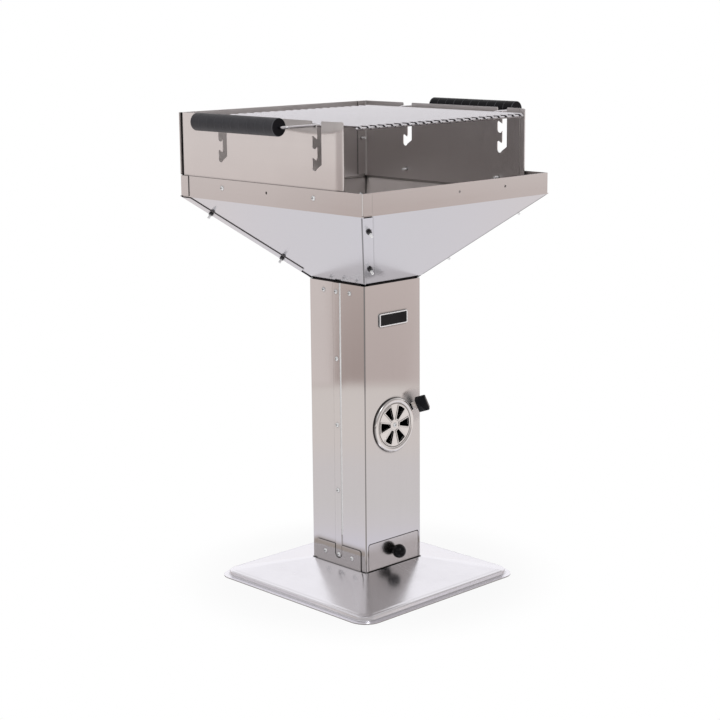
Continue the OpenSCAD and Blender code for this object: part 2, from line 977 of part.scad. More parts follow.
// Places children on the front slope: X along it, Y up the slope, Z outward
module on_slope() {
  translate([0, -column_half, neck_z])
    rotate([180 - slope_tilt, 0, 0])
      children();
}

// A layer parallel to the front slope's outer face, between two distances
module slope_layer(low, high) {
  on_slope()
    translate([-big / 2, -big / 2, low])
      cube([big, big, high - low]);
}

// Places children at the foot of the front slope's left hip, Y along the hip
module on_hip() {
  on_slope()
    translate([-column_half, 0, 0])
      rotate([0, 0, hip_turn])
        children();
}

module collar_plan() {
  c = rim_half + sheet - collar_fold_r;
  f = rim_half - collar_fold_r;
  start = -collar_in + sheet;
  translate([start, -rim_half])
    square([c - start, sheet]);
  translate([c, -f])
    mirror([0, 1])
      fold(collar_fold_r);
  translate([rim_half, -f])
    square([sheet, collar_wrap - collar_fold_r]);
}

module hopper_panel(rim_holes, neck_holes) {
  difference() {
    union() {
      intersection() {
        slope_layer(-sheet, 0);
        on_side(1)
          slope_layer(-big, sheet);
        on_side(3)
          slope_layer(-big, -sheet - neck_gap);
        translate([-rim_half, -rim_half, neck_z - 2 * sheet])
          cube([2 * rim_half + 2 * sheet, rim_half - neck_at + sheet, slope_rise + 3 * sheet]);
      }
      intersection() {
        translate([0, 0, slope_top_z - 2 * sheet])
          linear_extrude(rim_z - slope_top_z + 2 * sheet)
            collar_plan();
        slope_layer(-big, 0);
        on_side(3)
          slope_layer(-big, -sheet - neck_gap);
        union() {
          translate([-rim_half, -rim_half, slope_top_z - 2 * sheet])
            cube([2 * rim_half, 2 * sheet, rim_z]);
          translate([0, -rim_half, slope_top_z + wrap_relief])
            cube([rim_half + 2 * sheet, 2 * collar_wrap, rim_z]);
        }
      }
      intersection() {
        on_side(1)
          on_hip()
            translate([0, hip_wrap_start, 0])
              cube([hip_wrap, hip_l, sheet]);
        slope_layer(-big, 0);
        translate([0, -rim_half, neck_z])
          cube([rim_half + sheet, rim_half, slope_rise - wrap_relief]);
      }
      translate([-neck_flange_half, -neck_at, neck_z - neck_flange])
        cube([2 * neck_flange_half, sheet, neck_flange - sheet / 2]);
    }
    for (x = rim_holes)
      front_hole(x, rim_hole_z, hole_d, -rim_half, -collar_in);
    for (x = neck_holes)
      front_hole(x, seam_low_z + (seam_count - 1) * seam_pitch, hole_d, -neck_at, -neck_at + sheet);
    hip_holes();
    on_side(1)
      hip_holes();
  }
}

module hip_holes() {
  for (s = hip_bolt_at)
    on_hip()
      translate([hip_bolt_in, s, -sheet - over])
        cylinder(d = hole_d, h = 2 * sheet + 2 * over);
}

module hopper_front_panel() {
  color(steel)
    hopper_panel([0, rim_hole_at], []);
}

module hopper_right_panel() {
  color(steel)
    on_side(1)
      hopper_panel([-rim_hole_at, 0, rim_hole_at], [-neck_screw_at, 0, neck_screw_at]);
}

module hopper_rear_panel() {
  color(steel)
    on_side(2)
      hopper_panel([-rim_hole_at, 0, rim_hole_at], [-neck_screw_at, neck_screw_at]);
}

module hopper_left_panel() {
  color(steel)
    on_side(3)
      hopper_panel([-rim_hole_at, 0, rim_hole_at], [-neck_screw_at, 0, neck_screw_at]);
}

module hip_bolts() {
  color(bright)
    for (side = [0 : 3], s = hip_bolt_at)
      on_side(side)
        on_hip()
          translate([hip_bolt_in, s, -sheet])
            rotate([180, 0, 0])
              screw(long_l);
}

module hip_nuts() {
  color(bright)
    for (side = [0 : 3], s = hip_bolt_at)
      on_side(side)
        on_hip()
          translate([hip_bolt_in, s, sheet])
            nut();
}

// ---- wind guard

// Plan of the right side wall
module guard_plan() {
  bend_y = guard_front_y + lip_w * cos(lip_bend);
  f = rear_in - rear_fold_r;
  nose = sheet;
  translate([guard_in, bend_y])
    square([sheet, f - bend_y]);
  translate([guard_at - rear_fold_r, f])
    fold(rear_fold_r);
  translate([guard_at - rear_flange, rear_in - sheet])
    square([rear_flange - rear_fold_r, sheet]);
  translate([guard_at, bend_y])
    rotate(-lip_bend) {
      translate([-sheet, -lip_w + nose])
        square([sheet, lip_w - nose]);
      translate([-2 * sheet, -lip_w + nose])
        square([sheet, hem_w - nose]);
      translate([-sheet, -lip_w + nose])
        circle(nose);
    }
  translate([guard_at - sheet, bend_y])
    circle(sheet / 2);
}

// Side view of a slot: X along the wall from the channel's front edge
module slot_shape() {
  low_z = seat_high_z - (seat_count - 1) * seat_pitch;
  end = channel_w + hook_w;
  polygon([[0, low_z + foot_rise], [end - seat_r, low_z], [end - seat_r, low_z + seat_r],
    [channel_w, low_z + hook_high], [channel_w, guard_top_z + over], [0, guard_top_z + over]]);
  for (i = [0 : seat_count - 1])
    translate([0, seat_high_z - i * seat_pitch]) {
      top = i == 0 ? guard_top_z + over - seat_high_z : hook_high;
      fall = i == 0 ? 0 : ceiling_fall;
      polygon([[channel_w - over / 10, tooth_rise], [end - seat_r, 0], [end, seat_r],
        [end, top - seat_r / 2], [end - seat_r / 2, top], [channel_w - over / 10, top - fall]]);
      translate([end - seat_r, seat_r])
        circle(seat_r);
      if (i > 0)
        translate([end - seat_r / 2, top - seat_r / 2])
          circle(seat_r / 2);
      if (i == 0)
        translate([end - seat_r, seat_r])
          square([seat_r, top - seat_r]);
    }
  for (s = [0, 1])
    translate([s * end, guard_top_z])
      mirror([s, 0])
        difference() {
          translate([-mouth_r, -mouth_r])
            square([mouth_r + over / 10, 2 * mouth_r]);
          translate([-mouth_r, -mouth_r])
            circle(mouth_r);
        }
}

module slot(at) {
  translate([guard_in - over, at + seat_r - channel_w - hook_w, 0])
    rotate([90, 0, 90])
      linear_extrude(sheet + 2 * over)
        slot_shape();
}

module guard_wall() {
  difference() {
    translate([0, 0, guard_low_z])
      linear_extrude(guard_top_z - guard_low_z)
        guard_plan();
    slot(-wire_at);
    slot(wire_at);
    for (y = [-rim_hole_at, rim_hole_at])
      side_hole(y, rim_hole_z, guard_in, guard_at);
    for (z = corner_screw_z)
      front_hole(corner_screw_at, z, hole_d, rear_in - sheet, rear_in);
    translate([0, rear_in - rear_fold_r, 0])
      cube([guard_at - rear_fold_r, 2 * rear_fold_r, rear_flange_z]);
    translate([guard_at - 2 * lip_w, guard_front_y, guard_top_z])
      rotate([0, 90, 0])
        difference() {
          translate([-guard_corner_r, -guard_corner_r, 0])
            cube([2 * guard_corner_r, 2 * guard_corner_r, 3 * lip_w]);
          translate([guard_corner_r, guard_corner_r, -over])
            cylinder(r = guard_corner_r, h = 3 * lip_w + 2 * over);
        }
  }
}

module guard_right_wall() {
  color(steel)
    guard_wall();
}

module guard_left_wall() {
  color(steel)
    mirror([1, 0, 0])
      guard_wall();
}

module guard_rear_wall() {
  wide = guard_at + rear_margin;
  color(steel)
    difference() {
      union() {
        translate([-guard_at, rear_in, guard_low_z])
          cube([2 * guard_at, sheet, guard_top_z - guard_low_z]);
        translate([-wide, rear_in, rim_z + rear_margin_gap])
          cube([2 * wide, sheet, guard_top_z - rim_z - rear_margin_gap]);
      }
      for (x = [-rim_hole_at, rim_hole_at])
        front_hole(x, rim_hole_z, hole_d, rear_in, rear_out);
      for (x = [-corner_screw_at, corner_screw_at], z = corner_screw_z)
        front_hole(x, z, hole_d, rear_in, rear_out);
    }
}

module rim_screws() {
  color(bright)
    for (side = [1, 2, 3], x = [-rim_hole_at, rim_hole_at])
      on_side(side)
        front_screw(x, -rim_half, rim_hole_z, long_l);
}

module guard_corner_screws() {
  color(bright)
    for (x = [-corner_screw_at, corner_screw_at], z = corner_screw_z)
      on_side(2)
        front_screw(x, -rear_out, z, long_l);
}

// ---- grates and handles

module coal_grate() {
  reach = coal_half - coal_d / 2;
  z = coal_low_z + coal_d / 2;
  under_z = z + coal_d * (1 - weld_share);
  color(bright) {
    for (s = [-1, 1]) {
      rod([s * reach, -reach, z], [s * reach, reach, z], coal_d);
      rod([-reach, s * reach, z], [reach, s * reach, z], coal_d);
      rod([-reach - coal_d / 4, s * coal_cross_at, z], [reach + coal_d / 4, s * coal_cross_at, z], coal_d);
      for (t = [-1, 1])
        ball([s * reach, t * reach, z], coal_d);
    }
    for (i = [0 : coal_count - 1]) {
      x = (i - (coal_count - 1) / 2) * coal_pitch;
      rod([x, -reach - coal_d / 4, under_z], [x, reach + coal_d / 4, under_z], coal_d);
    }
  }
}

module grate_bar() {
  y = bar_reach - bar_end_run;
  rod([0, -y, bar_z], [0, y, bar_z], bar_d);
  for (s = [-1, 1]) {
    ball([0, s * y, bar_z], bar_d);
    rod([0, s * y, bar_z], [0, s * bar_reach, bar_z - bar_end_drop], bar_d);
  }
}

module cooking_grate() {
  frame_y = bar_reach - bar_end_run - frame_d / 2;
  color(bright) {
    for (i = [0 : bar_count - 1])
      translate([(i - (bar_count - 1) / 2) * bar_pitch, 0, 0])
        grate_bar();
    for (s = [-1, 1]) {
      rod([-frame_reach, s * frame_y, frame_z], [frame_reach, s * frame_y, frame_z], frame_d);
      for (t = [-1, 1])
        ball([t * frame_reach, s * frame_y, frame_z], frame_d);
    }
  }
}

module handle_wire() {
  x = grip_at - wire_bend_r;
  y = wire_at - wire_bend_r;
  color(bright) {
    for (s = [-1, 1]) {
      rod([wire_in, s * wire_at, leg_z], [rise_from, s * wire_at, leg_z], wire_d);
      ball([rise_from, s * wire_at, leg_z], wire_d + 2 * wire_swell);
      rod([rise_from, s * wire_at, leg_z], [rise_to, s * wire_at, wire_z], wire_d);
      ball([rise_to, s * wire_at, wire_z], wire_d + 2 * wire_swell);
      rod([rise_to, s * wire_at, wire_z], [x + wire_merge, s * wire_at, wire_z], wire_d);
      translate([x, s * y, wire_z])
        rotate([0, 0, s > 0 ? 0 : -90])
          rotate_extrude(angle = 90, $fn = 64)
            translate([wire_bend_r, 0])
              circle(d = wire_d + 2 * wire_swell, $fn = 24);
    }
    rod([grip_at, -y - wire_merge, wire_z], [grip_at, y + wire_merge, wire_z], wire_d);
  }
}

module right_handle_wire() {
  handle_wire();
}

module left_handle_wire() {
  mirror([1, 0, 0])
    handle_wire();
}

module grip() {
  r = grip_d / 2;
  step = grip_l / 2;
  color(black)
    translate([grip_at, -step, wire_z])
      rotate([-90, 0, 0])
        difference() {
          rotate_extrude($fn = 64)
            difference() {
              union() {
                square([r - grip_edge_r, grip_l]);
                translate([0, grip_edge_r])
                  square([r, grip_l - 2 * grip_edge_r]);
                for (h = [grip_edge_r, grip_l - grip_edge_r])
                  translate([r - grip_edge_r, h])
                    circle(grip_edge_r, $fn = 24);
              }
              square([wire_d / 2 + grip_play, 2 * grip_l], center = false);
              for (i = [0 : groove_count - 1])
                translate([r - groove_deep, step + (i - (groove_count - 1) / 2) * groove_pitch - groove_w / 2])
                  square([2 * groove_deep, groove_w]);
            }
        }
}

module right_grip() {
  grip();
}

module left_grip() {
  mirror([1, 0, 0])
    grip();
}

base_plate();
column_front_shell();
column_rear_shell();
seam_screws();
foot_screws();
neck_screws();
drawer_runners();
ash_drawer_front();
ash_tray();
drawer_knob();
drawer_knob_screw();
vent_cover();
vent_disc();
vent_knob();
vent_spacer();
vent_pivot_screw();
vent_pivot_nut();
name_plate();
name_plate_inlay();
hopper_front_panel();
hopper_right_panel();
hopper_rear_panel();
hopper_left_panel();
hip_bolts();
hip_nuts();
guard_left_wall();
guard_right_wall();
guard_rear_wall();
rim_screws();
guard_corner_screws();
coal_grate();
cooking_grate();
left_handle_wire();
right_handle_wire();
left_grip();
right_grip();
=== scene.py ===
# %% [markdown]
# # A park grill on a steel pedestal
#
# The real thing is folded stainless sheet: a pressed foot, a square column
# with an ash drawer and an air vent, a funnel-shaped fire bowl, a wind guard
# and a wire grate with two roller grips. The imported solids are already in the
# right places, so this lesson gives them finishes, swaps the forms that need
# softer bends for finer meshes, and sets up a plain white studio.

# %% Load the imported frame
import json
import math

import bmesh
import bpy
from mathutils import Matrix, Vector


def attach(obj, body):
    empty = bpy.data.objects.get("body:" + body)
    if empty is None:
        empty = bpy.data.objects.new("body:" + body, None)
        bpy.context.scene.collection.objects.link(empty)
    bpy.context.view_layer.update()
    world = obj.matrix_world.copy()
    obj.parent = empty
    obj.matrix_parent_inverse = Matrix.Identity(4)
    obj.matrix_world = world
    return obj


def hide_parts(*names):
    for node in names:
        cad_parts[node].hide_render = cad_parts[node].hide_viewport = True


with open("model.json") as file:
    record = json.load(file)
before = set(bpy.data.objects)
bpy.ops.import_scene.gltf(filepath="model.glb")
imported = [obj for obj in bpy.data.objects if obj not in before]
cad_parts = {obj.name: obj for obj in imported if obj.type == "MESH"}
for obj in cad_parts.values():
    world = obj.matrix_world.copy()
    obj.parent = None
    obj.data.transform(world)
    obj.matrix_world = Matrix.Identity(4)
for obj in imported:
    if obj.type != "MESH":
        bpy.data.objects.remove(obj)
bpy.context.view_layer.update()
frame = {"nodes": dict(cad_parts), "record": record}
nodes = frame["nodes"]
slot_of = {part["node"]: part["material_slot"] for part in frame["record"]["subparts"]}
body_of = {name: body for body, names in frame["record"]["behaviour"]["bodies"].items()
           for name in names}

# %% [markdown]
# ## The camera
#
# The photograph was taken from a little above the grate, 44 degrees round to
# the left. A camera could be placed by eye, but the angles were measured on
# the object's own straight edges, so the camera is set from them: a place, a
# direction given by azimuth, elevation and roll, and a long lens.

# %% Camera
CAMERA_PLACE = Vector((-2.2519, -2.3090, 1.1131))
CAMERA_AZIMUTH = math.radians(-44.096)
CAMERA_ELEVATION = math.radians(11.897)
CAMERA_ROLL = math.radians(-0.484)
LENS_MM, SENSOR_MM = 85.27, 36.0


def camera_matrix():
    """The camera's axes as columns, from its three angles."""
    az, el = CAMERA_AZIMUTH, CAMERA_ELEVATION
    back = Vector((math.sin(az) * math.cos(el), -math.cos(az) * math.cos(el), math.sin(el)))
    right = Vector((math.cos(az), math.sin(az), 0.0))
    up = back.cross(right)
    c, s = math.cos(CAMERA_ROLL), math.sin(CAMERA_ROLL)
    turned_right = right * c + up * s
    turned_up = up * c - right * s
    m = Matrix((turned_right, turned_up, back)).transposed().to_4x4()
    m.translation = CAMERA_PLACE
    return m


camera_data = bpy.data.cameras.new("photo_camera")
camera_data.lens = LENS_MM
camera_data.sensor_width = SENSOR_MM
camera = bpy.data.objects.new("photo_camera", camera_data)
bpy.context.scene.collection.objects.link(camera)
camera.matrix_world = camera_matrix()
bpy.context.scene.camera = camera
print("camera looks along", [round(v, 3) for v in -camera.matrix_world.col[2].to_3d()])

# %% [markdown]
# ## Node helpers
#
# Shader trees are easier to read as short lines of text than as long lists of
# sockets. A few small helpers are enough: they add a node and fill its inputs,
# link sockets in pairs, do a sum, split a vector, build a colour ramp, blend
# two colours, and map one range of values to another.

# %% Node helpers


def add(tree, kind, at=(0, 0), **values):
    """Adds a node; a value whose name is an input's sets that input."""
    node = tree.nodes.new(kind)
    node.location = at
    for name, value in values.items():
        key = name.replace("_", " ")
        if key in node.inputs:
            node.inputs[key].default_value = value
        else:
            setattr(node, name, value)
    return node


def join(tree, *pairs):
    """Links output sockets to input sockets, two by two."""
    for out, into in pairs:
        tree.links.new(out, into)


def calc(tree, kind, first, second=None, at=(0, 0)):
    """A Math node on one or two sockets or numbers; gives its output socket."""
    node = add(tree, "ShaderNodeMath", at, operation=kind)
    for place, value in enumerate((first, second)):
        if isinstance(value, (int, float)):
            node.inputs[place].default_value = value
        elif value is not None:
            tree.links.new(value, node.inputs[place])
    return node.outputs[0]


def axes(tree, vector, at=(0, 0)):
    """Splits a vector socket; gives its three parts as sockets."""
    node = add(tree, "ShaderNodeSeparateXYZ", at)
    tree.links.new(vector, node.inputs[0])
    return node.outputs


def ramp(tree, value, stops, at=(0, 0)):
    """A colour ramp from (position, colour) stops; gives its colour socket."""
    node = add(tree, "ShaderNodeValToRGB", at)
    marks = node.color_ramp.elements
    while len(marks) < len(stops):
        marks.new(0.5)
    for mark, (position, colour) in zip(marks, stops):
        mark.position = position
        mark.color = (*colour, 1)
    tree.links.new(value, node.inputs[0])
    return node.outputs[0]


def blend_colours(tree, factor, first, second, at=(0, 0), kind="MIX"):
    """A Mix node on two colours; gives its output socket."""
    node = add(tree, "ShaderNodeMix", at, data_type="RGBA", blend_type=kind)
    for place, value in ((0, factor), (6, first), (7, second)):
        if isinstance(value, (int, float)):
            node.inputs[place].default_value = value
        elif isinstance(value, tuple):
            node.inputs[place].default_value = (*value, 1)
        else:
            tree.links.new(value, node.inputs[place])
    return node.outputs[2]


def stretch(tree, value, low, high, to_low, to_high, at=(0, 0), smooth=False):
    """Maps a value's range to another; gives the output socket."""
    node = add(tree, "ShaderNodeMapRange", at,
               interpolation_type="SMOOTHSTEP" if smooth else "LINEAR")
    for name, number in (("From Min", low), ("From Max", high),
                         ("To Min", to_low), ("To Max", to_high)):
        node.inputs[name].default_value = number
    tree.links.new(value, node.inputs["Value"])
    return node.outputs[0]


print("node helpers ready")

# %% [markdown]
# ## A white studio that steel can mirror
#
# Bare steel has hardly any colour of its own: it shows what stands around it.
# In the photograph the column is bright at its lower half and brown-grey
# above a fairly sharp line, which is the edge of the white paper on the
# studio floor, seen in the steel. A picture of a studio could be wrapped round
# the scene, but a few colours by direction are enough: a pale backdrop behind
# the object, a darker room on the near side, and one soft box overhead.

# %% Tones by direction
HIGH_UP = (0.52, 0.50, 0.49)
ROOM = (0.40, 0.385, 0.38)
ROOM_CORNER = (0.56, 0.53, 0.52)
LEFT_ROOM = (0.86, 0.85, 0.86)
LOW_FRONT = (0.74, 0.70, 0.69)
WHITE = (1.0, 0.99, 1.0)
BACKDROP_WAY = (0.69, 0.72, 0.0)
ROUND_TONES = [(0.0, ROOM), (0.55, ROOM), (0.62, ROOM_CORNER), (0.82, WHITE), (1.0, WHITE)]
LEFT_ACROSS, LEFT_UP = (-0.50, -0.20), (0.15, 0.48)
FRONT_ACROSS, FRONT_UP, FRONT_DEEP = (0.30, 0.55), (0.06, 0.20), (-0.5, -0.2)
HIGH_EDGE = (0.55, 0.8)
SOFTBOX_WAY = (-0.25, -0.66, 0.71)
SOFTBOX, SOFTBOX_EDGE = (1.15, 1.15, 1.15), (0.955, 0.975)
SOFTBOX_CORE, CORE_EDGE = (4.0, 4.0, 4.0), (0.992, 0.996)

world = bpy.data.worlds.new("white_studio")
bpy.context.scene.world = world
world.use_nodes = True
wt = world.node_tree
wt.nodes.clear()
w_dir = add(wt, "ShaderNodeTexCoord", (-600, 0)).outputs["Generated"]
w_x, w_y, w_z = axes(wt, w_dir, (-400, 0))


def towards(way, at):
    """How nearly a ray of the world runs along a given way."""
    node = add(wt, "ShaderNodeVectorMath", at, operation="DOT_PRODUCT")
    node.inputs[1].default_value = way
    join(wt, (w_dir, node.inputs[0]))
    return node.outputs["Value"]


w_round = ramp(wt, stretch(wt, towards(BACKDROP_WAY, (-400, -200)), -1, 1, 0, 1, (-250, -200)),
               ROUND_TONES, (-100, -200))
w_left = calc(wt, "MULTIPLY", stretch(wt, w_x, *LEFT_ACROSS, 1, 0, (-250, -300), smooth=True),
              stretch(wt, w_z, *LEFT_UP, 0, 1, (-250, -400), smooth=True), (-100, -300))
w_front = calc(wt, "MULTIPLY", stretch(wt, w_x, *FRONT_ACROSS, 0, 1, (-250, -600), smooth=True),
               stretch(wt, w_z, *FRONT_UP, 1, 0, (-250, -750), smooth=True), (-100, -600))
w_front = calc(wt, "MULTIPLY", w_front,
               stretch(wt, w_y, *FRONT_DEEP, 1, 0, (-250, -900)), (-50, -700))
w_round = blend_colours(wt, w_front, w_round, LOW_FRONT, (0, -400))
w_round = blend_colours(wt, w_left, w_round, LEFT_ROOM, (0, -250))
w_high = stretch(wt, w_z, *HIGH_EDGE, 0, 1, (-100, 0), smooth=True)
w_sky = blend_colours(wt, w_high, w_round, HIGH_UP, (50, 0))
w_box = towards(SOFTBOX_WAY, (-400, -400))
w_box_seen = stretch(wt, w_box, *SOFTBOX_EDGE, 0, 1, (-100, -400), smooth=True)
w_sky = blend_colours(wt, w_box_seen, w_sky, SOFTBOX, (100, 100))
w_core = stretch(wt, w_box, *CORE_EDGE, 0, 1, (-100, -550), smooth=True)
w_sky = blend_colours(wt, w_core, w_sky, SOFTBOX_CORE, (200, 100))
print("tones round the scene:", len(ROUND_TONES))

# %% [markdown]
# Those tones are only for mirrors. Light Path tells the rays apart: the
# camera's rays see plain white, the mirror's rays see the tones, and all other
# rays get an even, slightly cool light that fills the shadows.

# %% World
FILL_LIGHT, FILL_STRENGTH = (0.97, 0.98, 1, 1), 0.35

w_seen = add(wt, "ShaderNodeBackground", (100, 0), Strength=1.0, Color=(1, 1, 1, 1))
w_mirror = add(wt, "ShaderNodeBackground", (100, -150), Strength=1.0)
w_light = add(wt, "ShaderNodeBackground", (100, -300), Strength=FILL_STRENGTH, Color=FILL_LIGHT)
w_path = add(wt, "ShaderNodeLightPath", (-200, 300))
w_shiny = calc(wt, "MAXIMUM", w_path.outputs["Is Glossy Ray"],
               w_path.outputs["Is Transmission Ray"], (100, 300))
w_one = add(wt, "ShaderNodeMixShader", (350, -100))
w_two = add(wt, "ShaderNodeMixShader", (550, 0))
w_out = add(wt, "ShaderNodeOutputWorld", (750, 0))
join(wt, (w_sky, w_mirror.inputs["Color"]),
     (w_shiny, w_one.inputs[0]), (w_light.outputs[0], w_one.inputs[1]),
     (w_mirror.outputs[0], w_one.inputs[2]),
     (w_path.outputs["Is Camera Ray"], w_two.inputs[0]), (w_one.outputs[0], w_two.inputs[1]),
     (w_seen.outputs[0], w_two.inputs[2]), (w_two.outputs[0], w_out.inputs[0]))
print("world nodes:", len(wt.nodes))

# %% [markdown]
# The floor does three jobs. The camera sees it white, with the object's soft
# shadow near the foot. Diffuse light bounces off it at a plain level. And in
# mirrors it is the paper and the room: bluish close by, warm white farther
# out, then the darker floor of the room, and pale again towards the walls.
# A table of tones by distance gives that, and it is easier to read and change
# than a painted picture of the floor.

# %% Floor and its tones by distance
FLOOR_REACH = 30.0
MIRROR_REACH = 16.0
PAPER_EDGE = 1.795
ROOM_START = 1.835
FLOOR_TONES = [
    (0.0, (0.88, 0.87, 0.97)), (0.32, (0.88, 0.87, 0.96)), (0.42, (0.87, 0.85, 0.89)),
    (0.60, (0.85, 0.83, 0.84)), (0.9, (0.86, 0.83, 0.84)), (1.15, (0.89, 0.84, 0.82)),
    (PAPER_EDGE, (0.89, 0.84, 0.81)), (ROOM_START, (0.51, 0.43, 0.405)),
    (4.0, (0.65, 0.565, 0.535)), (7.0, (0.66, 0.57, 0.54)), (9.5, (1.0, 0.93, 0.91)),
    (MIRROR_REACH, (1.0, 0.97, 0.95))]


def make_mesh(name, bm):
    """Turns a bmesh into an object whose place is in its mesh."""
    mesh = bpy.data.meshes.new(name)
    bm.to_mesh(mesh)
    bm.free()
    obj = bpy.data.objects.new(name, mesh)
    bpy.context.scene.collection.objects.link(obj)
    return obj


floor_bm = bmesh.new()
bmesh.ops.create_grid(floor_bm, x_segments=1, y_segments=1, size=FLOOR_REACH)
floor = make_mesh("floor", floor_bm)
floor_mat = bpy.data.materials.new("white_floor")
floor_mat.use_nodes = True
ft = floor_mat.node_tree
ft.nodes.clear()
f_place = add(ft, "ShaderNodeTexCoord", (-1200, 0)).outputs["Object"]
f_far = add(ft, "ShaderNodeVectorMath", (-1000, 0), operation="LENGTH")
join(ft, (f_place, f_far.inputs[0]))
f_reach = f_far.outputs["Value"]
f_x, f_y = axes(ft, f_place, (-1000, -200))[:2]
f_tone = ramp(ft, calc(ft, "DIVIDE", f_reach, MIRROR_REACH, (-800, 0)),
              [(far / MIRROR_REACH, tone) for far, tone in FLOOR_TONES], (-600, 0))
f_paper = stretch(ft, f_reach, PAPER_EDGE, ROOM_START, 0.0, 1.0, (-450, -900))
f_side = calc(ft, "DIVIDE", calc(ft, "ADD", f_x, f_y, (-800, -200)), f_reach, (-650, -300))
print("tones on the floor:", len(FLOOR_TONES))

# %% [markdown]
# The room isn't the same all round. A pale screen stands behind the object on
# the left, and its straight edge shows as an upright step of tone in the
# column. It is a mask from where a point of the floor lies: its distance, its
# place across, and its side, which is -1.4 towards the camera and 1.4 away
# from it. Near by the edge is sharp, and far off it is soft.

# %% A pale screen
SCREEN_TONE = (0.86, 0.79, 0.77)
SCREEN_OFFSET, SCREEN_SLANT = 0.069, 0.044
SCREEN_SHARP, SCREEN_SOFT, SCREEN_TURN = (-0.003, 0.003), (0.0, 0.05), (3.7, 4.3)
SCREEN_FADE, SCREEN_REST = (4.4, 6.5), 0.55
SCREEN_ACROSS, SCREEN_RIGHT = (-0.5, 0.5), 0.35

f_edge = calc(ft, "SUBTRACT", calc(ft, "ADD", f_side, calc(ft, "DIVIDE", SCREEN_OFFSET, f_reach)),
              SCREEN_SLANT)
f_near_edge = calc(ft, "MULTIPLY", stretch(ft, f_edge, *SCREEN_SHARP, 0, 1, (-450, -200)),
                   stretch(ft, f_reach, *SCREEN_TURN, 1, 0, (-450, -350)))
f_far_edge = calc(ft, "MULTIPLY",
                  stretch(ft, f_side, *SCREEN_SOFT, 0, 1, (-450, -300), smooth=True),
                  stretch(ft, f_reach, *SCREEN_TURN, 0, 1, (-450, -400)))
f_fade = stretch(ft, f_reach, *SCREEN_FADE, 1.0, SCREEN_REST, (-450, -500), smooth=True)
f_left = stretch(ft, f_x, *SCREEN_ACROSS, 1.0, SCREEN_RIGHT, (-450, -700))
f_screen = calc(ft, "MULTIPLY",
                calc(ft, "MULTIPLY", calc(ft, "ADD", f_near_edge, f_far_edge), f_fade,
                     (-250, -300)),
                calc(ft, "MULTIPLY", f_left, f_paper, (-250, -700)), (-100, -500))
f_tone = blend_colours(ft, f_screen, f_tone, SCREEN_TONE, (50, -100))
print("nodes with the screen:", len(ft.nodes))

# %% [markdown]
# The rest is drawn the same way. The right is a little sunnier. Towards the
# camera the floor is pale, but dark where the camera itself stands, and the
# sectors to both sides of that are darker too. Close to the foot the floor
# lies in the foot's shade.

# %% Sunny, dark and shaded sides
SUNNY_TONE, SUNNY_SHARE = (0.97, 0.88, 0.86), 0.36
SUNNY_ACROSS, SUNNY_FADE = (0.2, 0.8), (3.8, 5.0)
CAMERA_PAPER, CAMERA_ROOM = (0.50, 0.48, 0.48), (0.28, 0.26, 0.26)
CAMERA_EDGE, CAMERA_FADE = (-1.30, -1.20), (4.0, 5.0)
FRONT_TONE, FRONT_EDGE = (0.97, 0.94, 0.92), (-1.15, -0.85)
SIDE_REACH = 1.5
SIDE_TONES = [
    (0.0, (1, 1, 1)), (0.2, (1, 1, 1)), (0.3, (0.64, 0.62, 0.62)), (0.4, (0.68, 0.66, 0.66)),
    (0.465, (1, 1, 1)), (1.0, (1, 1, 1))]
FOOT_SHADE, FOOT_EDGE = (0.46, 0.415, 0.385), (0.232, 0.265)

f_sunny = calc(ft, "MULTIPLY", stretch(ft, f_x, *SUNNY_ACROSS, 0, 1, (-450, -1300)),
               calc(ft, "MULTIPLY", f_paper,
                    stretch(ft, f_reach, *SUNNY_FADE, SUNNY_SHARE, 0, (-450, -1500)),
                    (-250, -1400)), (-100, -1300))
f_tone = blend_colours(ft, f_sunny, f_tone, SUNNY_TONE, (80, -100))
f_camera_side = calc(ft, "MULTIPLY", stretch(ft, f_side, *CAMERA_EDGE, 1, 0, (-300, -600)),
                     stretch(ft, f_reach, *CAMERA_FADE, 1, 0, (-300, -750)), (-150, -650))
f_camera_tone = blend_colours(ft, f_paper, CAMERA_PAPER, CAMERA_ROOM, (-100, -800))
f_toward = blend_colours(ft, f_camera_side, FRONT_TONE, f_camera_tone, (0, -600))
f_front = stretch(ft, f_side, *FRONT_EDGE, 1, 0, (50, -500), smooth=True)
f_tone = blend_colours(ft, f_front, f_tone, f_toward, (100, -100))
f_dark = ramp(ft, stretch(ft, f_side, -SIDE_REACH, SIDE_REACH, 0, 1, (-450, -1100)), SIDE_TONES,
              (-250, -1100))
f_darker = blend_colours(ft, 1.0, f_tone, f_dark, (50, -300), "MULTIPLY")
f_tone = blend_colours(ft, f_paper, f_tone, f_darker, (150, -300))
f_beside = calc(ft, "MAXIMUM", calc(ft, "ABSOLUTE", f_x, at=(-800, -500)),
                calc(ft, "ABSOLUTE", f_y, at=(-800, -650)), (-650, -550))
f_foot_shade = stretch(ft, f_beside, *FOOT_EDGE, 1, 0, (50, -700), smooth=True)
f_tone = blend_colours(ft, f_foot_shade, f_tone, FOOT_SHADE, (200, -300))
print("nodes with all sides:", len(ft.nodes))

# %% [markdown]
# Last, the three jobs are put together. The white that the camera sees is a
# glow, so it stays even; where the object's shadow falls, a share of a plain
# white surface, which can be shaded, is mixed in.

# %% The floor's three jobs
SHADOW_REACH, SHADOW_SHARE = (0.24, 0.42), 0.11
BOUNCE_STRENGTH = 0.9

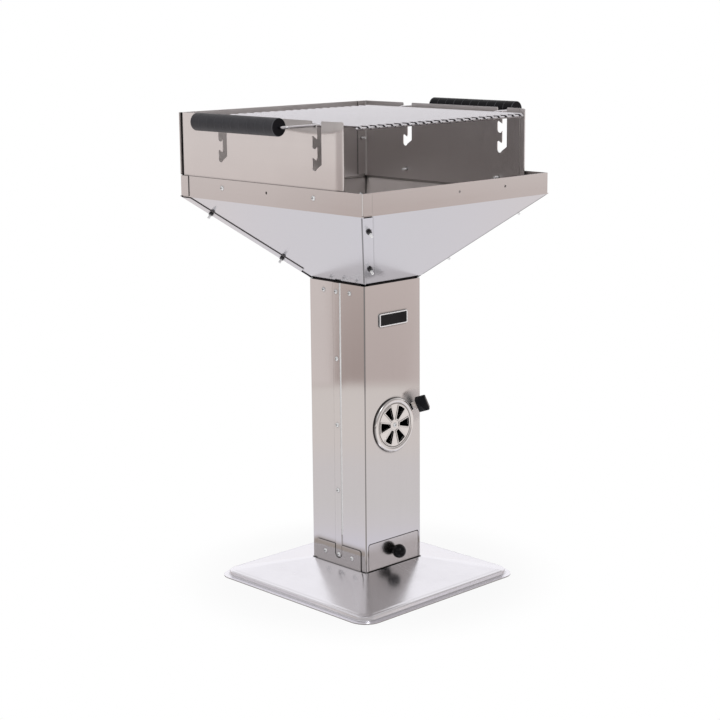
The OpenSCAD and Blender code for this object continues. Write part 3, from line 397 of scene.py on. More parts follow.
f_mirror = add(ft, "ShaderNodeEmission", (250, -100), Strength=1.0)
f_glow = add(ft, "ShaderNodeEmission", (250, 100), Strength=1.0, Color=(1, 1, 1, 1))
f_white = add(ft, "ShaderNodeBsdfDiffuse", (250, 250), Color=(0.95, 0.95, 0.95, 1))
f_path = add(ft, "ShaderNodeLightPath", (-200, 600))
f_shiny = calc(ft, "MAXIMUM", f_path.outputs["Is Glossy Ray"],
               f_path.outputs["Is Transmission Ray"], (50, 500))
f_shadow = stretch(ft, f_reach, *SHADOW_REACH, SHADOW_SHARE, 0.0, (50, 350), smooth=True)
f_bounce = stretch(ft, f_path.outputs["Is Diffuse Ray"], 0, 1, 1.0, BOUNCE_STRENGTH, (50, 650))
f_plain = add(ft, "ShaderNodeMixShader", (450, 150))
f_all = add(ft, "ShaderNodeMixShader", (650, 0))
f_out = add(ft, "ShaderNodeOutputMaterial", (850, 0))
join(ft, (f_tone, f_mirror.inputs["Color"]), (f_bounce, f_glow.inputs["Strength"]),
     (f_shadow, f_plain.inputs[0]), (f_glow.outputs[0], f_plain.inputs[1]),
     (f_white.outputs[0], f_plain.inputs[2]), (f_shiny, f_all.inputs[0]),
     (f_plain.outputs[0], f_all.inputs[1]), (f_mirror.outputs[0], f_all.inputs[2]),
     (f_all.outputs[0], f_out.inputs[0]))
floor.data.materials.append(floor_mat)
print("floor nodes:", len(ft.nodes))

# %% [markdown]
# Three large soft lamps give form to the black pieces and the shadow under the
# grate. Mirrors don't see them: a lamp's bright square would show in every
# bend of the sheet, so what steel mirrors is only the paper, the room and the
# soft box in the world.


# %% Lamps
LAMPS = [
    ("key_lamp", (-1.2, -3.0, 3.0), (0, 0, 0.5), 2.0, 45),
    ("side_lamp", (3.0, -1.0, 2.2), (0, 0, 0.5), 1.6, 8),
    ("top_lamp", (-0.5, 1.2, 3.4), (0, 0, 0.6), 2.0, 15)]


def soft_lamp(name, place, aim, size, watts):
    """A large square lamp at a place, turned towards an aim point."""
    data = bpy.data.lights.new(name, "AREA")
    data.shape = "SQUARE"
    data.size = size
    data.energy = watts
    obj = bpy.data.objects.new(name, data)
    bpy.context.scene.collection.objects.link(obj)
    obj.location = place
    obj.rotation_mode = "QUATERNION"
    obj.rotation_quaternion = (Vector(aim) - Vector(place)).to_track_quat("-Z", "Y")
    obj.visible_glossy = False


for lamp in LAMPS:
    soft_lamp(*lamp)
print("lamps:", [lamp.name for lamp in bpy.data.lights])

# %% [markdown]
# ## Effects that several finishes share
#
# Rolled and brushed sheet has fine parallel lines, a cloudy film from rolling
# and handling, and small nicks; the lines and the film are drawn here. Image
# textures could hold them, but a noise that is stretched along one direction
# gives brush lines at any zoom. Each effect is a node group with named sockets,
# built once, and every finish places it with its own values.


# %% Group helpers
def new_group(name, sockets):
    """An empty shader group with inputs and outputs from a list."""
    group = bpy.data.node_groups.new(name, "ShaderNodeTree")
    for label, direction, kind in sockets:
        group.interface.new_socket(name=label, in_out=direction, socket_type=kind)
    source = add(group, "NodeGroupInput", (-600, 0))
    target = add(group, "NodeGroupOutput", (600, 0))
    return group, source, target


def place_group(tree, group, at=(0, 0), **values):
    """Places a group in a material and sets its unlinked inputs."""
    node = add(tree, "ShaderNodeGroup", at)
    node.node_tree = group
    for name, value in values.items():
        node.inputs[name].default_value = value
    return node


FLOAT, VECTOR = "NodeSocketFloat", "NodeSocketVector"

# %% [markdown]
# Brush lines: a Mapping node squeezes the coordinates across the lines and
# leaves them long along them. The same noise is also the height of a very low
# bump, which breaks up the mirror image the way real grain does.

# %% Brushed grain
FINE_SHARE, WIDE_SHARE = 0.6, 0.4
WIDE_SCALE = 0.13
GRAIN_HEIGHT = 0.0002

grain_group, g_in, g_out = new_group("brushed_grain", [
    ("Vector", "INPUT", VECTOR), ("Lines", "INPUT", VECTOR), ("Depth", "INPUT", FLOAT),
    ("Grain", "OUTPUT", FLOAT), ("Normal", "OUTPUT", VECTOR)])
g_map = add(grain_group, "ShaderNodeMapping", (-400, 0))
g_fine = add(grain_group, "ShaderNodeTexNoise", (-200, 0), Scale=1.0, Detail=3.0, Roughness=0.65)
g_wide = add(grain_group, "ShaderNodeTexNoise", (-200, -250), Scale=WIDE_SCALE, Detail=2.0,
             Roughness=0.5)
g_both = calc(grain_group, "ADD",
              calc(grain_group, "MULTIPLY", g_fine.outputs[0], FINE_SHARE, (50, 0)),
              calc(grain_group, "MULTIPLY", g_wide.outputs[0], WIDE_SHARE, (50, -250)), (200, 0))
g_bump = add(grain_group, "ShaderNodeBump", (400, -200), Distance=GRAIN_HEIGHT)
join(grain_group, (g_in.outputs["Vector"], g_map.inputs["Vector"]),
     (g_in.outputs["Lines"], g_map.inputs["Scale"]),
     (g_map.outputs[0], g_fine.inputs["Vector"]), (g_map.outputs[0], g_wide.inputs["Vector"]),
     (g_both, g_out.inputs["Grain"]), (g_both, g_bump.inputs["Height"]),
     (g_in.outputs["Depth"], g_bump.inputs["Strength"]),
     (g_bump.outputs[0], g_out.inputs["Normal"]))
print("grain nodes:", len(grain_group.nodes))

# %% [markdown]
# A cloudy film: two soft noises, one of hand size and one of finger size. It
# moves the roughness more than the colour, so it shows only where the sheet
# mirrors something.

# %% Cloudy film
HAND_SHARE, FINGER_SHARE = 0.65, 0.35
FINGER_SCALE = 5.0
CLOUD_EDGE = (0.32, 0.68)

cloud_group, c_in, c_out = new_group("cloudy_film", [
    ("Vector", "INPUT", VECTOR), ("Size", "INPUT", FLOAT), ("Cloud", "OUTPUT", FLOAT)])
c_big = add(cloud_group, "ShaderNodeTexNoise", (-200, 0), Detail=2.0, Roughness=0.5)
c_small = add(cloud_group, "ShaderNodeTexNoise", (-200, -250), Detail=3.0, Roughness=0.6)
c_mix = calc(cloud_group, "ADD",
             calc(cloud_group, "MULTIPLY", c_big.outputs[0], HAND_SHARE, (0, 0)),
             calc(cloud_group, "MULTIPLY", c_small.outputs[0], FINGER_SHARE, (0, -250)), (200, 0))
join(cloud_group, (c_in.outputs["Vector"], c_big.inputs["Vector"]),
     (c_in.outputs["Vector"], c_small.inputs["Vector"]),
     (c_in.outputs["Size"], c_big.inputs["Scale"]),
     (calc(cloud_group, "MULTIPLY", c_in.outputs["Size"], FINGER_SCALE, (-400, -250)),
      c_small.inputs["Scale"]),
     (stretch(cloud_group, c_mix, *CLOUD_EDGE, 0, 1, (400, 0), smooth=True),
      c_out.inputs["Cloud"]))
print("film nodes:", len(cloud_group.nodes))

# %% [markdown]
# Inside and under faces: steel that faces inwards gets a painted shade for the
# dark inside of the column, the bowl and the guard, and is rougher there; faces
# that look down get a painted reflection of the paper close to the foot. Both
# masks come from the object's own coordinates and normal, so they stay in place
# in any view. The side of each grip that faces the grate uses the same mask, for
# a painted shade.

# %% Which way a face looks
INSIDE_EDGE = (-0.25, -0.05)
UNDER_EDGE = (-0.6, -0.3)

facing_group, i_in, i_out = new_group("facing", [
    ("Position", "INPUT", VECTOR), ("Normal", "INPUT", VECTOR),
    ("Inside", "OUTPUT", FLOAT), ("Under", "OUTPUT", FLOAT)])
i_flat = add(facing_group, "ShaderNodeVectorMath", (-400, 0), operation="MULTIPLY")
i_flat.inputs[1].default_value = (1, 1, 0)
i_unit = add(facing_group, "ShaderNodeVectorMath", (-250, 0), operation="NORMALIZE")
i_dot = add(facing_group, "ShaderNodeVectorMath", (-100, 0), operation="DOT_PRODUCT")
i_z = axes(facing_group, i_in.outputs["Normal"], (-400, -250))[2]
join(facing_group, (i_in.outputs["Position"], i_flat.inputs[0]),
     (i_flat.outputs[0], i_unit.inputs[0]), (i_unit.outputs[0], i_dot.inputs[0]),
     (i_in.outputs["Normal"], i_dot.inputs[1]),
     (stretch(facing_group, i_dot.outputs["Value"], *INSIDE_EDGE, 1, 0, (150, 0)),
      i_out.inputs["Inside"]),
     (stretch(facing_group, i_z, *UNDER_EDGE, 1, 0, (150, -250)), i_out.inputs["Under"]))
print("facing nodes:", len(facing_group.nodes))

# %% [markdown]
# Seams: where two pieces meet, light hardly gets in, so the gaps get a painted shade.
# An Ambient Occlusion node measures how closed a spot is within a few
# millimetres; the mask is one in the gap and nothing on the open sheet.

# %% Seams
SEAM_REACH = 0.004
SEAM_EDGE = (0.45, 0.93)

seam_group, _, s_out = new_group("seams", [("Seam", "OUTPUT", FLOAT)])
s_shut = add(seam_group, "ShaderNodeAmbientOcclusion", (-200, 0), samples=4,
             Distance=SEAM_REACH)
join(seam_group, (stretch(seam_group, s_shut.outputs["AO"], *SEAM_EDGE, 1, 0, (100, 0)),
                  s_out.inputs["Seam"]))
print("groups:", [group.name for group in bpy.data.node_groups])

# %% [markdown]
# ## Marks on the sheet
#
# The sheet isn't even all over, and some of its light and shade is painted on.
# A painted shade line runs where the foot and the bowl meet the column and
# along each upright fold, two painted dark reflections lie round the edges of
# the vent's bead, a painted highlight runs along the column's lap, and a dull
# film lies where fingers have touched the sheet beside the block knob and the
# left grip. They could be painted on images, but each is a plain shape in the
# object's own coordinates, so a few Math nodes draw it, and it stays sharp at
# any zoom.

# %% Painted shade at joints and folds
SHADE_LINE_TONE = (0.02, 0.02, 0.021)
JOINT_FADE = 0.0003
FOLD_LINE = (0.0014, 0.00224)
SEAM_SHADE_SHARE = 0.95


def band(tree, value, start, stop, fade, at=(0, 0)):
    """A mask that is one from start to stop, with a short fade after each."""
    x, y = at
    return calc(tree, "MULTIPLY",
                stretch(tree, value, start, start + fade, 0, 1, (x - 200, y)),
                stretch(tree, value, stop, stop + fade, 1, 0, (x - 200, y - 150)), at)


def joint_line(tree, place, start, stop):
    """A mask of the heights between start and stop."""
    return band(tree, axes(tree, place, (-900, -700))[2], start, stop, JOINT_FADE, (-500, -700))


def fold_line(tree, place, start, stop, darkness):
    """A mask of the upright corners, where x and y are as far out."""
    x, y, z = axes(tree, place, (-900, -1000))
    across = calc(tree, "SUBTRACT", calc(tree, "ABSOLUTE", x, at=(-750, -1000)),
                  calc(tree, "ABSOLUTE", y, at=(-750, -1150)), (-600, -1000))
    line = stretch(tree, calc(tree, "ABSOLUTE", across, at=(-450, -1000)), *FOLD_LINE,
                   darkness, 0, (-300, -1000))
    rise = band(tree, z, start, stop, JOINT_FADE, (-300, -1150))
    return calc(tree, "MULTIPLY", line, rise, (-150, -1000))


def painted_seam_shade(tree, tone, at):
    """Paints shade into a colour in the gaps between pieces."""
    x, y = at
    shut = place_group(tree, seam_group, (x - 400, y + 100))
    share = calc(tree, "MULTIPLY", shut.outputs["Seam"], SEAM_SHADE_SHARE, (x - 200, y + 100))
    return blend_colours(tree, share, tone, SHADE_LINE_TONE, at)


print("joint line fades over", JOINT_FADE * 1000, "mm")

# %% [markdown]
# The vent's painted dark reflections are a colour ramp over the distance from
# its middle. The lap's painted highlight is a narrow upright band on the outer
# leaf, dimmer low down, and less metallic than the sheet, so that it shows
# white. The film is a ball in space, or a flattened one, in which the sheet is
# rougher.

# %% Rings, lap and film
RING_REACH = 0.060
BEAD_REFLECTION_TONES = [
    (0.0, (1, 1, 1)), (0.0408, (1, 1, 1)), (0.0418, (0.25, 0.24, 0.24)),
    (0.0430, (0.25, 0.24, 0.24)), (0.0440, (1, 1, 1)), (0.0518, (1, 1, 1)),
    (0.0526, (0.20, 0.19, 0.19)), (0.0538, (0.20, 0.19, 0.19)), (0.0545, (1, 1, 1))]
LAP_HIGHLIGHT_TONE = (0.97, 0.97, 0.97)
LAP_FADE = 0.0006
LAP_OUT = (0.0738, 0.0742)
LAP_LOW = 0.1
LAP_RISE, LAP_DIM = (0.34, 0.44), 0.72
LAP_METAL = 0.15


def bead_reflection_tones(tree, place, middle):
    """The painted dark reflections round a point on the front, as a colour to multiply by."""
    centred = add(tree, "ShaderNodeMapping", (-900, -700))
    centred.inputs["Location"].default_value = tuple(-part for part in middle)
    centred.inputs["Scale"].default_value = (1, 0, 1)
    away = add(tree, "ShaderNodeVectorMath", (-700, -700), operation="LENGTH")
    join(tree, (place, centred.inputs["Vector"]), (centred.outputs[0], away.inputs[0]))
    return ramp(tree, calc(tree, "DIVIDE", away.outputs["Value"], RING_REACH, (-500, -700)),
                [(far / RING_REACH, tone) for far, tone in BEAD_REFLECTION_TONES], (-300, -700))


def lap_highlight(tree, place, front, rear):
    """A mask of the painted highlight on the lap, from front to rear on both sides."""
    x, y, z = axes(tree, place, (-900, 700))
    edge = band(tree, y, front, rear - LAP_FADE, LAP_FADE, (-500, 900))
    outer = stretch(tree, calc(tree, "ABSOLUTE", x, at=(-700, 700)), *LAP_OUT, 0, 1, (-500, 700))
    above = stretch(tree, z, LAP_LOW, LAP_LOW + LAP_FADE, 0, 1, (-500, 550))
    lit = calc(tree, "MULTIPLY", edge, calc(tree, "MULTIPLY", outer, above, (-300, 650)),
               (-150, 800))
    return calc(tree, "MULTIPLY", lit, stretch(tree, z, *LAP_RISE, LAP_DIM, 1.0, (-150, 950)),
                (0, 800))


def film(tree, place, middle, squash, near, far, dullness):
    """How much rougher the sheet is round a point that is touched."""
    scaled = add(tree, "ShaderNodeVectorMath", (-750, -650), operation="MULTIPLY")
    scaled.inputs[1].default_value = squash
    touched = add(tree, "ShaderNodeVectorMath", (-600, -650), operation="DISTANCE")
    touched.inputs[1].default_value = tuple(a * b for a, b in zip(middle, squash))
    join(tree, (place, scaled.inputs[0]), (scaled.outputs[0], touched.inputs[0]))
    return stretch(tree, touched.outputs["Value"], near, far, dullness, 0, (-400, -650),
                   smooth=True)


print("ring tones:", len(BEAD_REFLECTION_TONES))

# %% [markdown]
# ## Finishes
#
# Steel, plating and black mouldings all start alike: a Principled shader and
# the object's own coordinates and normal, on which every pattern is placed.

# %% Finish helpers
def new_finish(name):
    """A Principled material, with its tree, shader, coordinates and normal."""
    mat = bpy.data.materials.new(name)
    mat.use_nodes = True
    tree = mat.node_tree
    source = add(tree, "ShaderNodeTexCoord", (-1200, 0))
    return (mat, tree, tree.nodes["Principled BSDF"], source.outputs["Object"],
            source.outputs["Normal"])


def scale_colour(colour, factor):
    """A colour made lighter or darker, kept at one or less."""
    return tuple(min(1.0, part * factor) for part in colour)


print("half grey:", scale_colour((1, 1, 1), 0.5))

# %% [markdown]
# All the sheet is the same stainless steel, but each pressing was cut from it
# in its own direction: the lines run up the column and along the bowl and the
# guard. Each finish has a metal colour from the grain and the film, and only
# the marks that its piece has. Numbers that are the same all over a surface
# are set on the shader itself.

# %% Steel
CLOUD_SIZE = 7.0
CLOUD_TONE, CLOUD_TINT, CLOUD_ROUGH = 0.5, 0.6, 0.25
GRAIN_EDGE, GRAIN_ROUGH = (0.3, 0.7), 0.15
INSIDE_ROUGH = 0.22


def steel(name, colour, rough, lines, depth, contrast, shaded_inside=None, reflection_under=None, joint=None,
          rings=None, lap=None, handled=None, fold=None):
    """Brushed sheet: grain, film, painted shade inside, a painted reflection below, and marks."""
    mat, tree, shader, place, normal = new_finish(name)
    shader.inputs["Metallic"].default_value = 1.0
    grain = place_group(tree, grain_group, (-900, 0), Lines=lines, Depth=depth)
    cloud = place_group(tree, cloud_group, (-900, -250), Size=CLOUD_SIZE)
    facing = place_group(tree, facing_group, (-900, -450))
    tone = blend_colours(tree, grain.outputs["Grain"], scale_colour(colour, 1 - contrast),
                         scale_colour(colour, 1 + contrast), (-600, 100))
    cloudy = calc(tree, "MULTIPLY", cloud.outputs["Cloud"], CLOUD_TONE, (-600, -150))
    tone = blend_colours(tree, cloudy, tone, scale_colour(colour, 1 - CLOUD_TINT * contrast),
                         (-400, 100))
    # Painted reflection of the paper on faces that look down.
    if reflection_under:
        tone = blend_colours(tree, facing.outputs["Under"], tone, reflection_under, (-250, 200))
    # Painted shade on faces that look inwards.
    if shaded_inside:
        tone = blend_colours(tree, facing.outputs["Inside"], tone, shaded_inside, (-100, 200))
    # Painted shade lines at the joints and along the upright folds.
    if joint:
        tone = blend_colours(tree, joint_line(tree, place, *joint), tone, SHADE_LINE_TONE, (0, 200))
    if fold:
        tone = blend_colours(tree, fold_line(tree, place, *fold), tone, SHADE_LINE_TONE, (50, 100))
    # Painted dark reflections on the edges of the vent's bead.
    if rings:
        tone = blend_colours(tree, 1.0, tone, bead_reflection_tones(tree, place, rings), (0, 200), "MULTIPLY")
    # Painted shade in the gaps between pieces.
    tone = painted_seam_shade(tree, tone, (100, 300))
    # Painted highlight along the lap's edge.
    if lap:
        edge = lap_highlight(tree, place, *lap)
        tone = blend_colours(tree, edge, tone, LAP_HIGHLIGHT_TONE, (200, 500))
        join(tree, (stretch(tree, edge, 0, 1, 1.0, LAP_METAL, (200, 700)),
                    shader.inputs["Metallic"]))
    rough_all = calc(tree, "ADD",
                     stretch(tree, grain.outputs["Grain"], *GRAIN_EDGE, rough * (1 - GRAIN_ROUGH),
                             rough * (1 + GRAIN_ROUGH), (-600, -300)),
                     calc(tree, "MULTIPLY", cloud.outputs["Cloud"], rough * CLOUD_ROUGH,
                          (-600, -500)), (-300, -300))
    if shaded_inside:
        rough_all = calc(tree, "ADD", rough_all,
                         calc(tree, "MULTIPLY", facing.outputs["Inside"], INSIDE_ROUGH,
                              (-300, -450)), (-150, -300))
    if handled:
        rough_all = calc(tree, "ADD", rough_all, film(tree, place, *handled), (-50, -400))
    join(tree, (place, grain.inputs["Vector"]), (place, cloud.inputs["Vector"]),
         (place, facing.inputs["Position"]), (normal, facing.inputs["Normal"]),
         (tone, shader.inputs["Base Color"]), (rough_all, shader.inputs["Roughness"]),
         (grain.outputs["Normal"], shader.inputs["Normal"]))
    return mat


print("inside faces are rougher by", INSIDE_ROUGH)

# %% [markdown]
# Bright metal: the wires are chrome plated and the screws zinc plated. Plating
# follows the wire, so it has no brush lines, only a slight unevenness and a
# fine spangle. A wire mirrors the darker things under it, so its lower half
# gets a painted darker reflection. The nuts of the bowl's sloped corners get a
# dark tone.

# %% Plated metal
RIPPLE_SCALE = 0.4
RIPPLE_HEIGHT, RIPPLE_STRENGTH = 0.0003, 0.06
RIPPLE_EDGE, RIPPLE_ROUGH = (0.3, 0.7), (0.8, 1.3)
BELOW_EDGE = (-0.4, 0.45)


def plated(name, colour, rough, spangle_size, spangle, reflection_below=None, metal=1.0):
    """Plating: a fine spangle, a slight ripple, a painted reflection below and painted seam shade.
    """
    mat, tree, shader, place, normal = new_finish(name)
    shader.inputs["Metallic"].default_value = metal
    cells = add(tree, "ShaderNodeTexVoronoi", (-900, 0), Scale=spangle_size)
    ripple = add(tree, "ShaderNodeTexNoise", (-900, -300), Scale=spangle_size * RIPPLE_SCALE,
                 Detail=2.0)
    tone = blend_colours(tree, cells.outputs["Distance"], scale_colour(colour, 1 + spangle),
                         scale_colour(colour, 1 - spangle), (-500, 0))
    # Painted darker reflection on the lower half of a wire.
    if reflection_below:
        down = stretch(tree, axes(tree, normal, (-900, 300))[2], *BELOW_EDGE, 1, 0, (-700, 300))
        tone = blend_colours(tree, down, tone, reflection_below, (-300, 200))
    # Painted shade in the gaps between pieces.
    tone = painted_seam_shade(tree, tone, (-150, 300))
    least, most = RIPPLE_ROUGH
    rough_all = stretch(tree, ripple.outputs[0], *RIPPLE_EDGE, rough * least, rough * most,
                        (-500, -150))
    bump = add(tree, "ShaderNodeBump", (-400, -300), Strength=RIPPLE_STRENGTH,
               Distance=RIPPLE_HEIGHT)
    join(tree, (place, cells.inputs["Vector"]), (place, ripple.inputs["Vector"]),
         (ripple.outputs[0], bump.inputs["Height"]), (tone, shader.inputs["Base Color"]),
         (rough_all, shader.inputs["Roughness"]), (bump.outputs[0], shader.inputs["Normal"]))
    return mat


print("plating ripple:", RIPPLE_HEIGHT * 1000, "mm high")

# %% [markdown]
# Black mouldings: the knobs are glossy thermoset, the grips a satin one. Both
# have a faint orange-peel skin and a little pale dust in the film, which keeps
# black from looking like a hole. On the grips the turned grooves get painted
# highlights, and their ends and the side that faces the grate get a painted
# shade.

# %% Black mouldings
GROOVE_PITCH = 0.022
GROOVE_WIDTH = 0.0012
END_EDGE = (0.85, 0.95)
DUST_SIZE, DUST_SHARE, DUST_ROUGH = 30.0, 0.6, 0.1
PEEL_HEIGHT = 0.0002
TURNED_LINES = (4.0, 420.0, 4.0)


def moulded(name, colour, dusty, rough, peel_size, peel, shine, turned=0.0, groove_highlight=None,
            shaded_side=None):
    """A moulded black with skin and dust; grips get turned grooves, painted highlights and shade.
    """
    mat, tree, shader, place, normal = new_finish(name)
    shader.inputs["Specular IOR Level"].default_value = shine
    skin = add(tree, "ShaderNodeTexNoise", (-900, 0), Scale=peel_size, Detail=2.0)
    cloud = place_group(tree, cloud_group, (-900, -250), Size=DUST_SIZE)
    lathe = place_group(tree, grain_group, (-900, -450), Lines=TURNED_LINES, Depth=turned)
    dust = calc(tree, "MULTIPLY", cloud.outputs["Cloud"], DUST_SHARE, (-600, -150))
    tone = blend_colours(tree, dust, colour, dusty, (-300, 100))
    # Painted shade on the grips' ends and on the side that faces the grate.
    if shaded_side:
        facing = place_group(tree, facing_group, (-900, 600))
        join(tree, (place, facing.inputs["Position"]), (normal, facing.inputs["Normal"]))
        ends = calc(tree, "ABSOLUTE", axes(tree, normal, (-900, 800))[1], at=(-700, 800))
        ends = stretch(tree, ends, *END_EDGE, 0, 1, (-550, 800))
        shaded_part = calc(tree, "MAXIMUM", facing.outputs["Inside"], ends, (-400, 700))
        tone = blend_colours(tree, shaded_part, tone, shaded_side, (-250, 600))
    # Painted highlights along the turned grooves.
    if groove_highlight:
        along = calc(tree, "ABSOLUTE", axes(tree, place, (-900, 400))[1], at=(-750, 400))
        off = calc(tree, "PINGPONG", along, 0.5 * GROOVE_PITCH, (-600, 400))
        line = stretch(tree, off, 0.5 * GROOVE_WIDTH, 0.8 * GROOVE_WIDTH, 1, 0, (-450, 400))
        tone = blend_colours(tree, line, tone, groove_highlight, (-200, 300))
    rough_all = stretch(tree, cloud.outputs["Cloud"], 0, 1, rough, rough + DUST_ROUGH,
                        (-300, -100))
    bump = add(tree, "ShaderNodeBump", (-500, -300), Strength=peel, Distance=PEEL_HEIGHT)
    join(tree, (place, skin.inputs["Vector"]), (place, cloud.inputs["Vector"]),
         (place, lathe.inputs["Vector"]), (lathe.outputs["Normal"], bump.inputs["Normal"]),
         (skin.outputs[0], bump.inputs["Height"]), (tone, shader.inputs["Base Color"]),
         (rough_all, shader.inputs["Roughness"]), (bump.outputs[0], shader.inputs["Normal"]))
    return mat


print("grooves every", GROOVE_PITCH * 1000, "mm")

# %% [markdown]
# Each material slot of the record gets one finish, and every solid takes the
# finish of its slot. The pieces that are made finer further down take theirs
# from the same table. Only the dark nuts differ from the other fasteners.

# %% One finish for each slot
LINES_UP = (620.0, 620.0, 7.0)
LINES_ALONG = (7.0, 7.0, 620.0)
LINES_DEEP = (260.0, 6.0, 6.0)
SHEET_TONE = (0.645, 0.622, 0.618)
# Painted shade for the inside of the bowl and of the column.
BOWL_INSIDE_SHADE = (0.56, 0.527, 0.518)
SHAFT_SHADE_TONE = (0.10, 0.095, 0.09)
# Where painted light lies: shade lines at the joints and folds, the lap's highlight, and the dark
# reflections round the vent.
FOOT_JOINT, BOWL_JOINT = (0.0368, 0.039), (0.590, 0.5984)
COLUMN_FOLD, BOWL_FOLD = (0.038, 0.5965, 0.38), (0.601, 0.7515, 0.7)
LAP_BAND = (-0.0115, -0.0080)
VENT_MIDDLE = (0, 0, 0.318)
KNOB_FILM = ((0.052, -0.075, 0.347), (1, 1, 1), 0.026, 0.042, 0.36)
GRIP_FILM = ((-0.2434, -0.120, 0.913), (1, 1, 4), 0.070, 0.110, 0.45)

finishes = {
    "foot": steel("foot_sheet", (0.91, 0.90, 0.945), 0.21, LINES_DEEP, 0.003, 0.025,
                  joint=FOOT_JOINT),
    "column": steel("column_sheet", SHEET_TONE, 0.055, LINES_UP, 0.07, 0.03, shaded_inside=SHAFT_SHADE_TONE,
                    lap=LAP_BAND, handled=KNOB_FILM, fold=COLUMN_FOLD),
    "drawer": steel("drawer_sheet", (0.63, 0.60, 0.59), 0.19, LINES_UP, 0.30, 0.04),
    "vent": steel("vent_sheet", (0.80, 0.78, 0.77), 0.08, LINES_ALONG, 0.02, 0.03,
                  rings=VENT_MIDDLE),
    "bowl": steel("bowl_sheet", SHEET_TONE, 0.14, LINES_ALONG, 0.06, 0.03, shaded_inside=BOWL_INSIDE_SHADE,
                  reflection_under=(0.66, 0.655, 0.69), joint=BOWL_JOINT, fold=BOWL_FOLD),
    "guard": steel("guard_sheet", (0.69, 0.665, 0.66), 0.14, LINES_ALONG, 0.06, 0.03,
                   shaded_inside=(0.67, 0.64, 0.635), handled=GRIP_FILM),
    "fastener": plated("zinc_plate", (0.98, 0.98, 0.99), 0.24, 900.0, 0.03, metal=0.2),
    "wire": plated("chrome_plate", (0.92, 0.91, 0.95), 0.16, 500.0, 0.03,
                   reflection_below=(0.30, 0.29, 0.30)),
    "badge_frame": plated("badge_chrome", (0.95, 0.95, 0.96), 0.25, 700.0, 0.03, metal=0.4),
    "badge_field": moulded("badge_enamel", (0.006, 0.006, 0.007), (0.012, 0.012, 0.013), 0.30,
                           900.0, 0.1, shine=0.15),
    "knob": moulded("knob_black", (0.003, 0.003, 0.004), (0.008, 0.008, 0.010), 0.10, 500.0,
                    0.08, shine=0.15),
    "grip": moulded("grip_black", (0.051, 0.050, 0.056), (0.072, 0.070, 0.077), 0.38, 700.0,
                    0.15, shine=0.12, turned=0.12, groove_highlight=(0.085, 0.085, 0.092),
                    shaded_side=(0.006, 0.006, 0.008)),
}
for node_name, slot_name in slot_of.items():
    nodes[node_name].data.materials.clear()
    nodes[node_name].data.materials.append(finishes[slot_name])
# The hip nuts get a dark tone.
nodes["hip_nuts"].data.materials[0] = plated("dark_nut", (0.10, 0.10, 0.105), 0.3, 900.0, 0.05)
print("finishes:", len(finishes))

# %% [markdown]
# ## Folded sheet with softened edges
#
# Sheared and folded sheet never has a knife edge: it catches a thin line of
# light. The solids' meshes are loose triangles, so a copy of each is merged
# and its flat triangles joined first. Every new piece then says which body it
# rides on, whose finish it wears and which solid it stands for.

# %% Piece helpers
MM = 0.001
MERGE_WITHIN = 0.002 * MM
FLAT_WITHIN = math.radians(0.5)
EDGE_ANGLE = math.radians(38)


def finish_piece(obj, body, slot_name, *replaced):
    """Gives a new piece its body, finish, and the solids it stands for."""
    obj.data.materials.clear()
    obj.data.materials.append(finishes[slot_name])
    obj.data.set_sharp_from_angle(angle=EDGE_ANGLE)
    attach(obj, body)
    if replaced:
        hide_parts(*replaced)


def merged_copy(node_name):
    """A bmesh of a solid with its triangles merged and flats joined."""
    bm = bmesh.new()
    bm.from_mesh(nodes[node_name].data)
    bmesh.ops.remove_doubles(bm, verts=bm.verts, dist=MERGE_WITHIN)
    bmesh.ops.dissolve_limit(bm, angle_limit=FLAT_WITHIN, verts=bm.verts, edges=bm.edges)
    return bm


def flats_first(obj):
    """A modifier that lets the flat faces keep their own normals."""
    even = obj.modifiers.new("flat_faces_first", "WEIGHTED_NORMAL")
    even.mode = "FACE_AREA"
    even.weight = 100
    even.keep_sharp = True


def smooth_mesh(name, bm):
    """An object with smooth faces from a bmesh."""
    for face in bm.faces:
        face.smooth = True
    return make_mesh(name, bm)


print("pieces so far:", len(nodes))

# %% [markdown]
# A Bevel modifier rounds what is sharper than a fold by a quarter of a
# millimetre. A bevel in the mesh itself would do too, but a modifier stays
# easy to change.

# %% Bevelled copies
SOFT_EDGE = 0.25 * MM
SOFT_SEGMENTS = 2
SHEET_NODES = ["column_front_shell", "column_rear_shell", "drawer_runners", "ash_drawer_front",
               "ash_tray", "hopper_front_panel", "hopper_right_panel", "hopper_rear_panel",
               "hopper_left_panel", "guard_left_wall", "guard_right_wall", "guard_rear_wall",
               "vent_disc", "name_plate", "name_plate_inlay"]


def soften(obj):
    """A Bevel modifier on the edges that are sharper than a fold."""
    bevel = obj.modifiers.new("soft_edges", "BEVEL")
    bevel.width = SOFT_EDGE
    bevel.segments = SOFT_SEGMENTS
    bevel.limit_method = "ANGLE"
    bevel.angle_limit = EDGE_ANGLE
    flats_first(obj)


def bevelled_copy(node_name):
    """A solid's softened copy, on the same body and with the same finish."""
    obj = smooth_mesh(node_name + "_soft", merged_copy(node_name))
    finish_piece(obj, body_of[node_name], slot_of[node_name], node_name)
    soften(obj)


for node_name in SHEET_NODES:
    bevelled_copy(node_name)
print("softened:", len(SHEET_NODES))

# %% [markdown]
# ## The pressed foot
#
# The foot is one sheet pressed into a low pyramid with a flange on the floor,
# an upright step, a small bead and a level land for the column. A box could
# be cut and bevelled, but every cross-section is a square with round corners,
# so rounded rings are made one by one, from the floor up and back underneath,
# and each pair of neighbours is bridged.

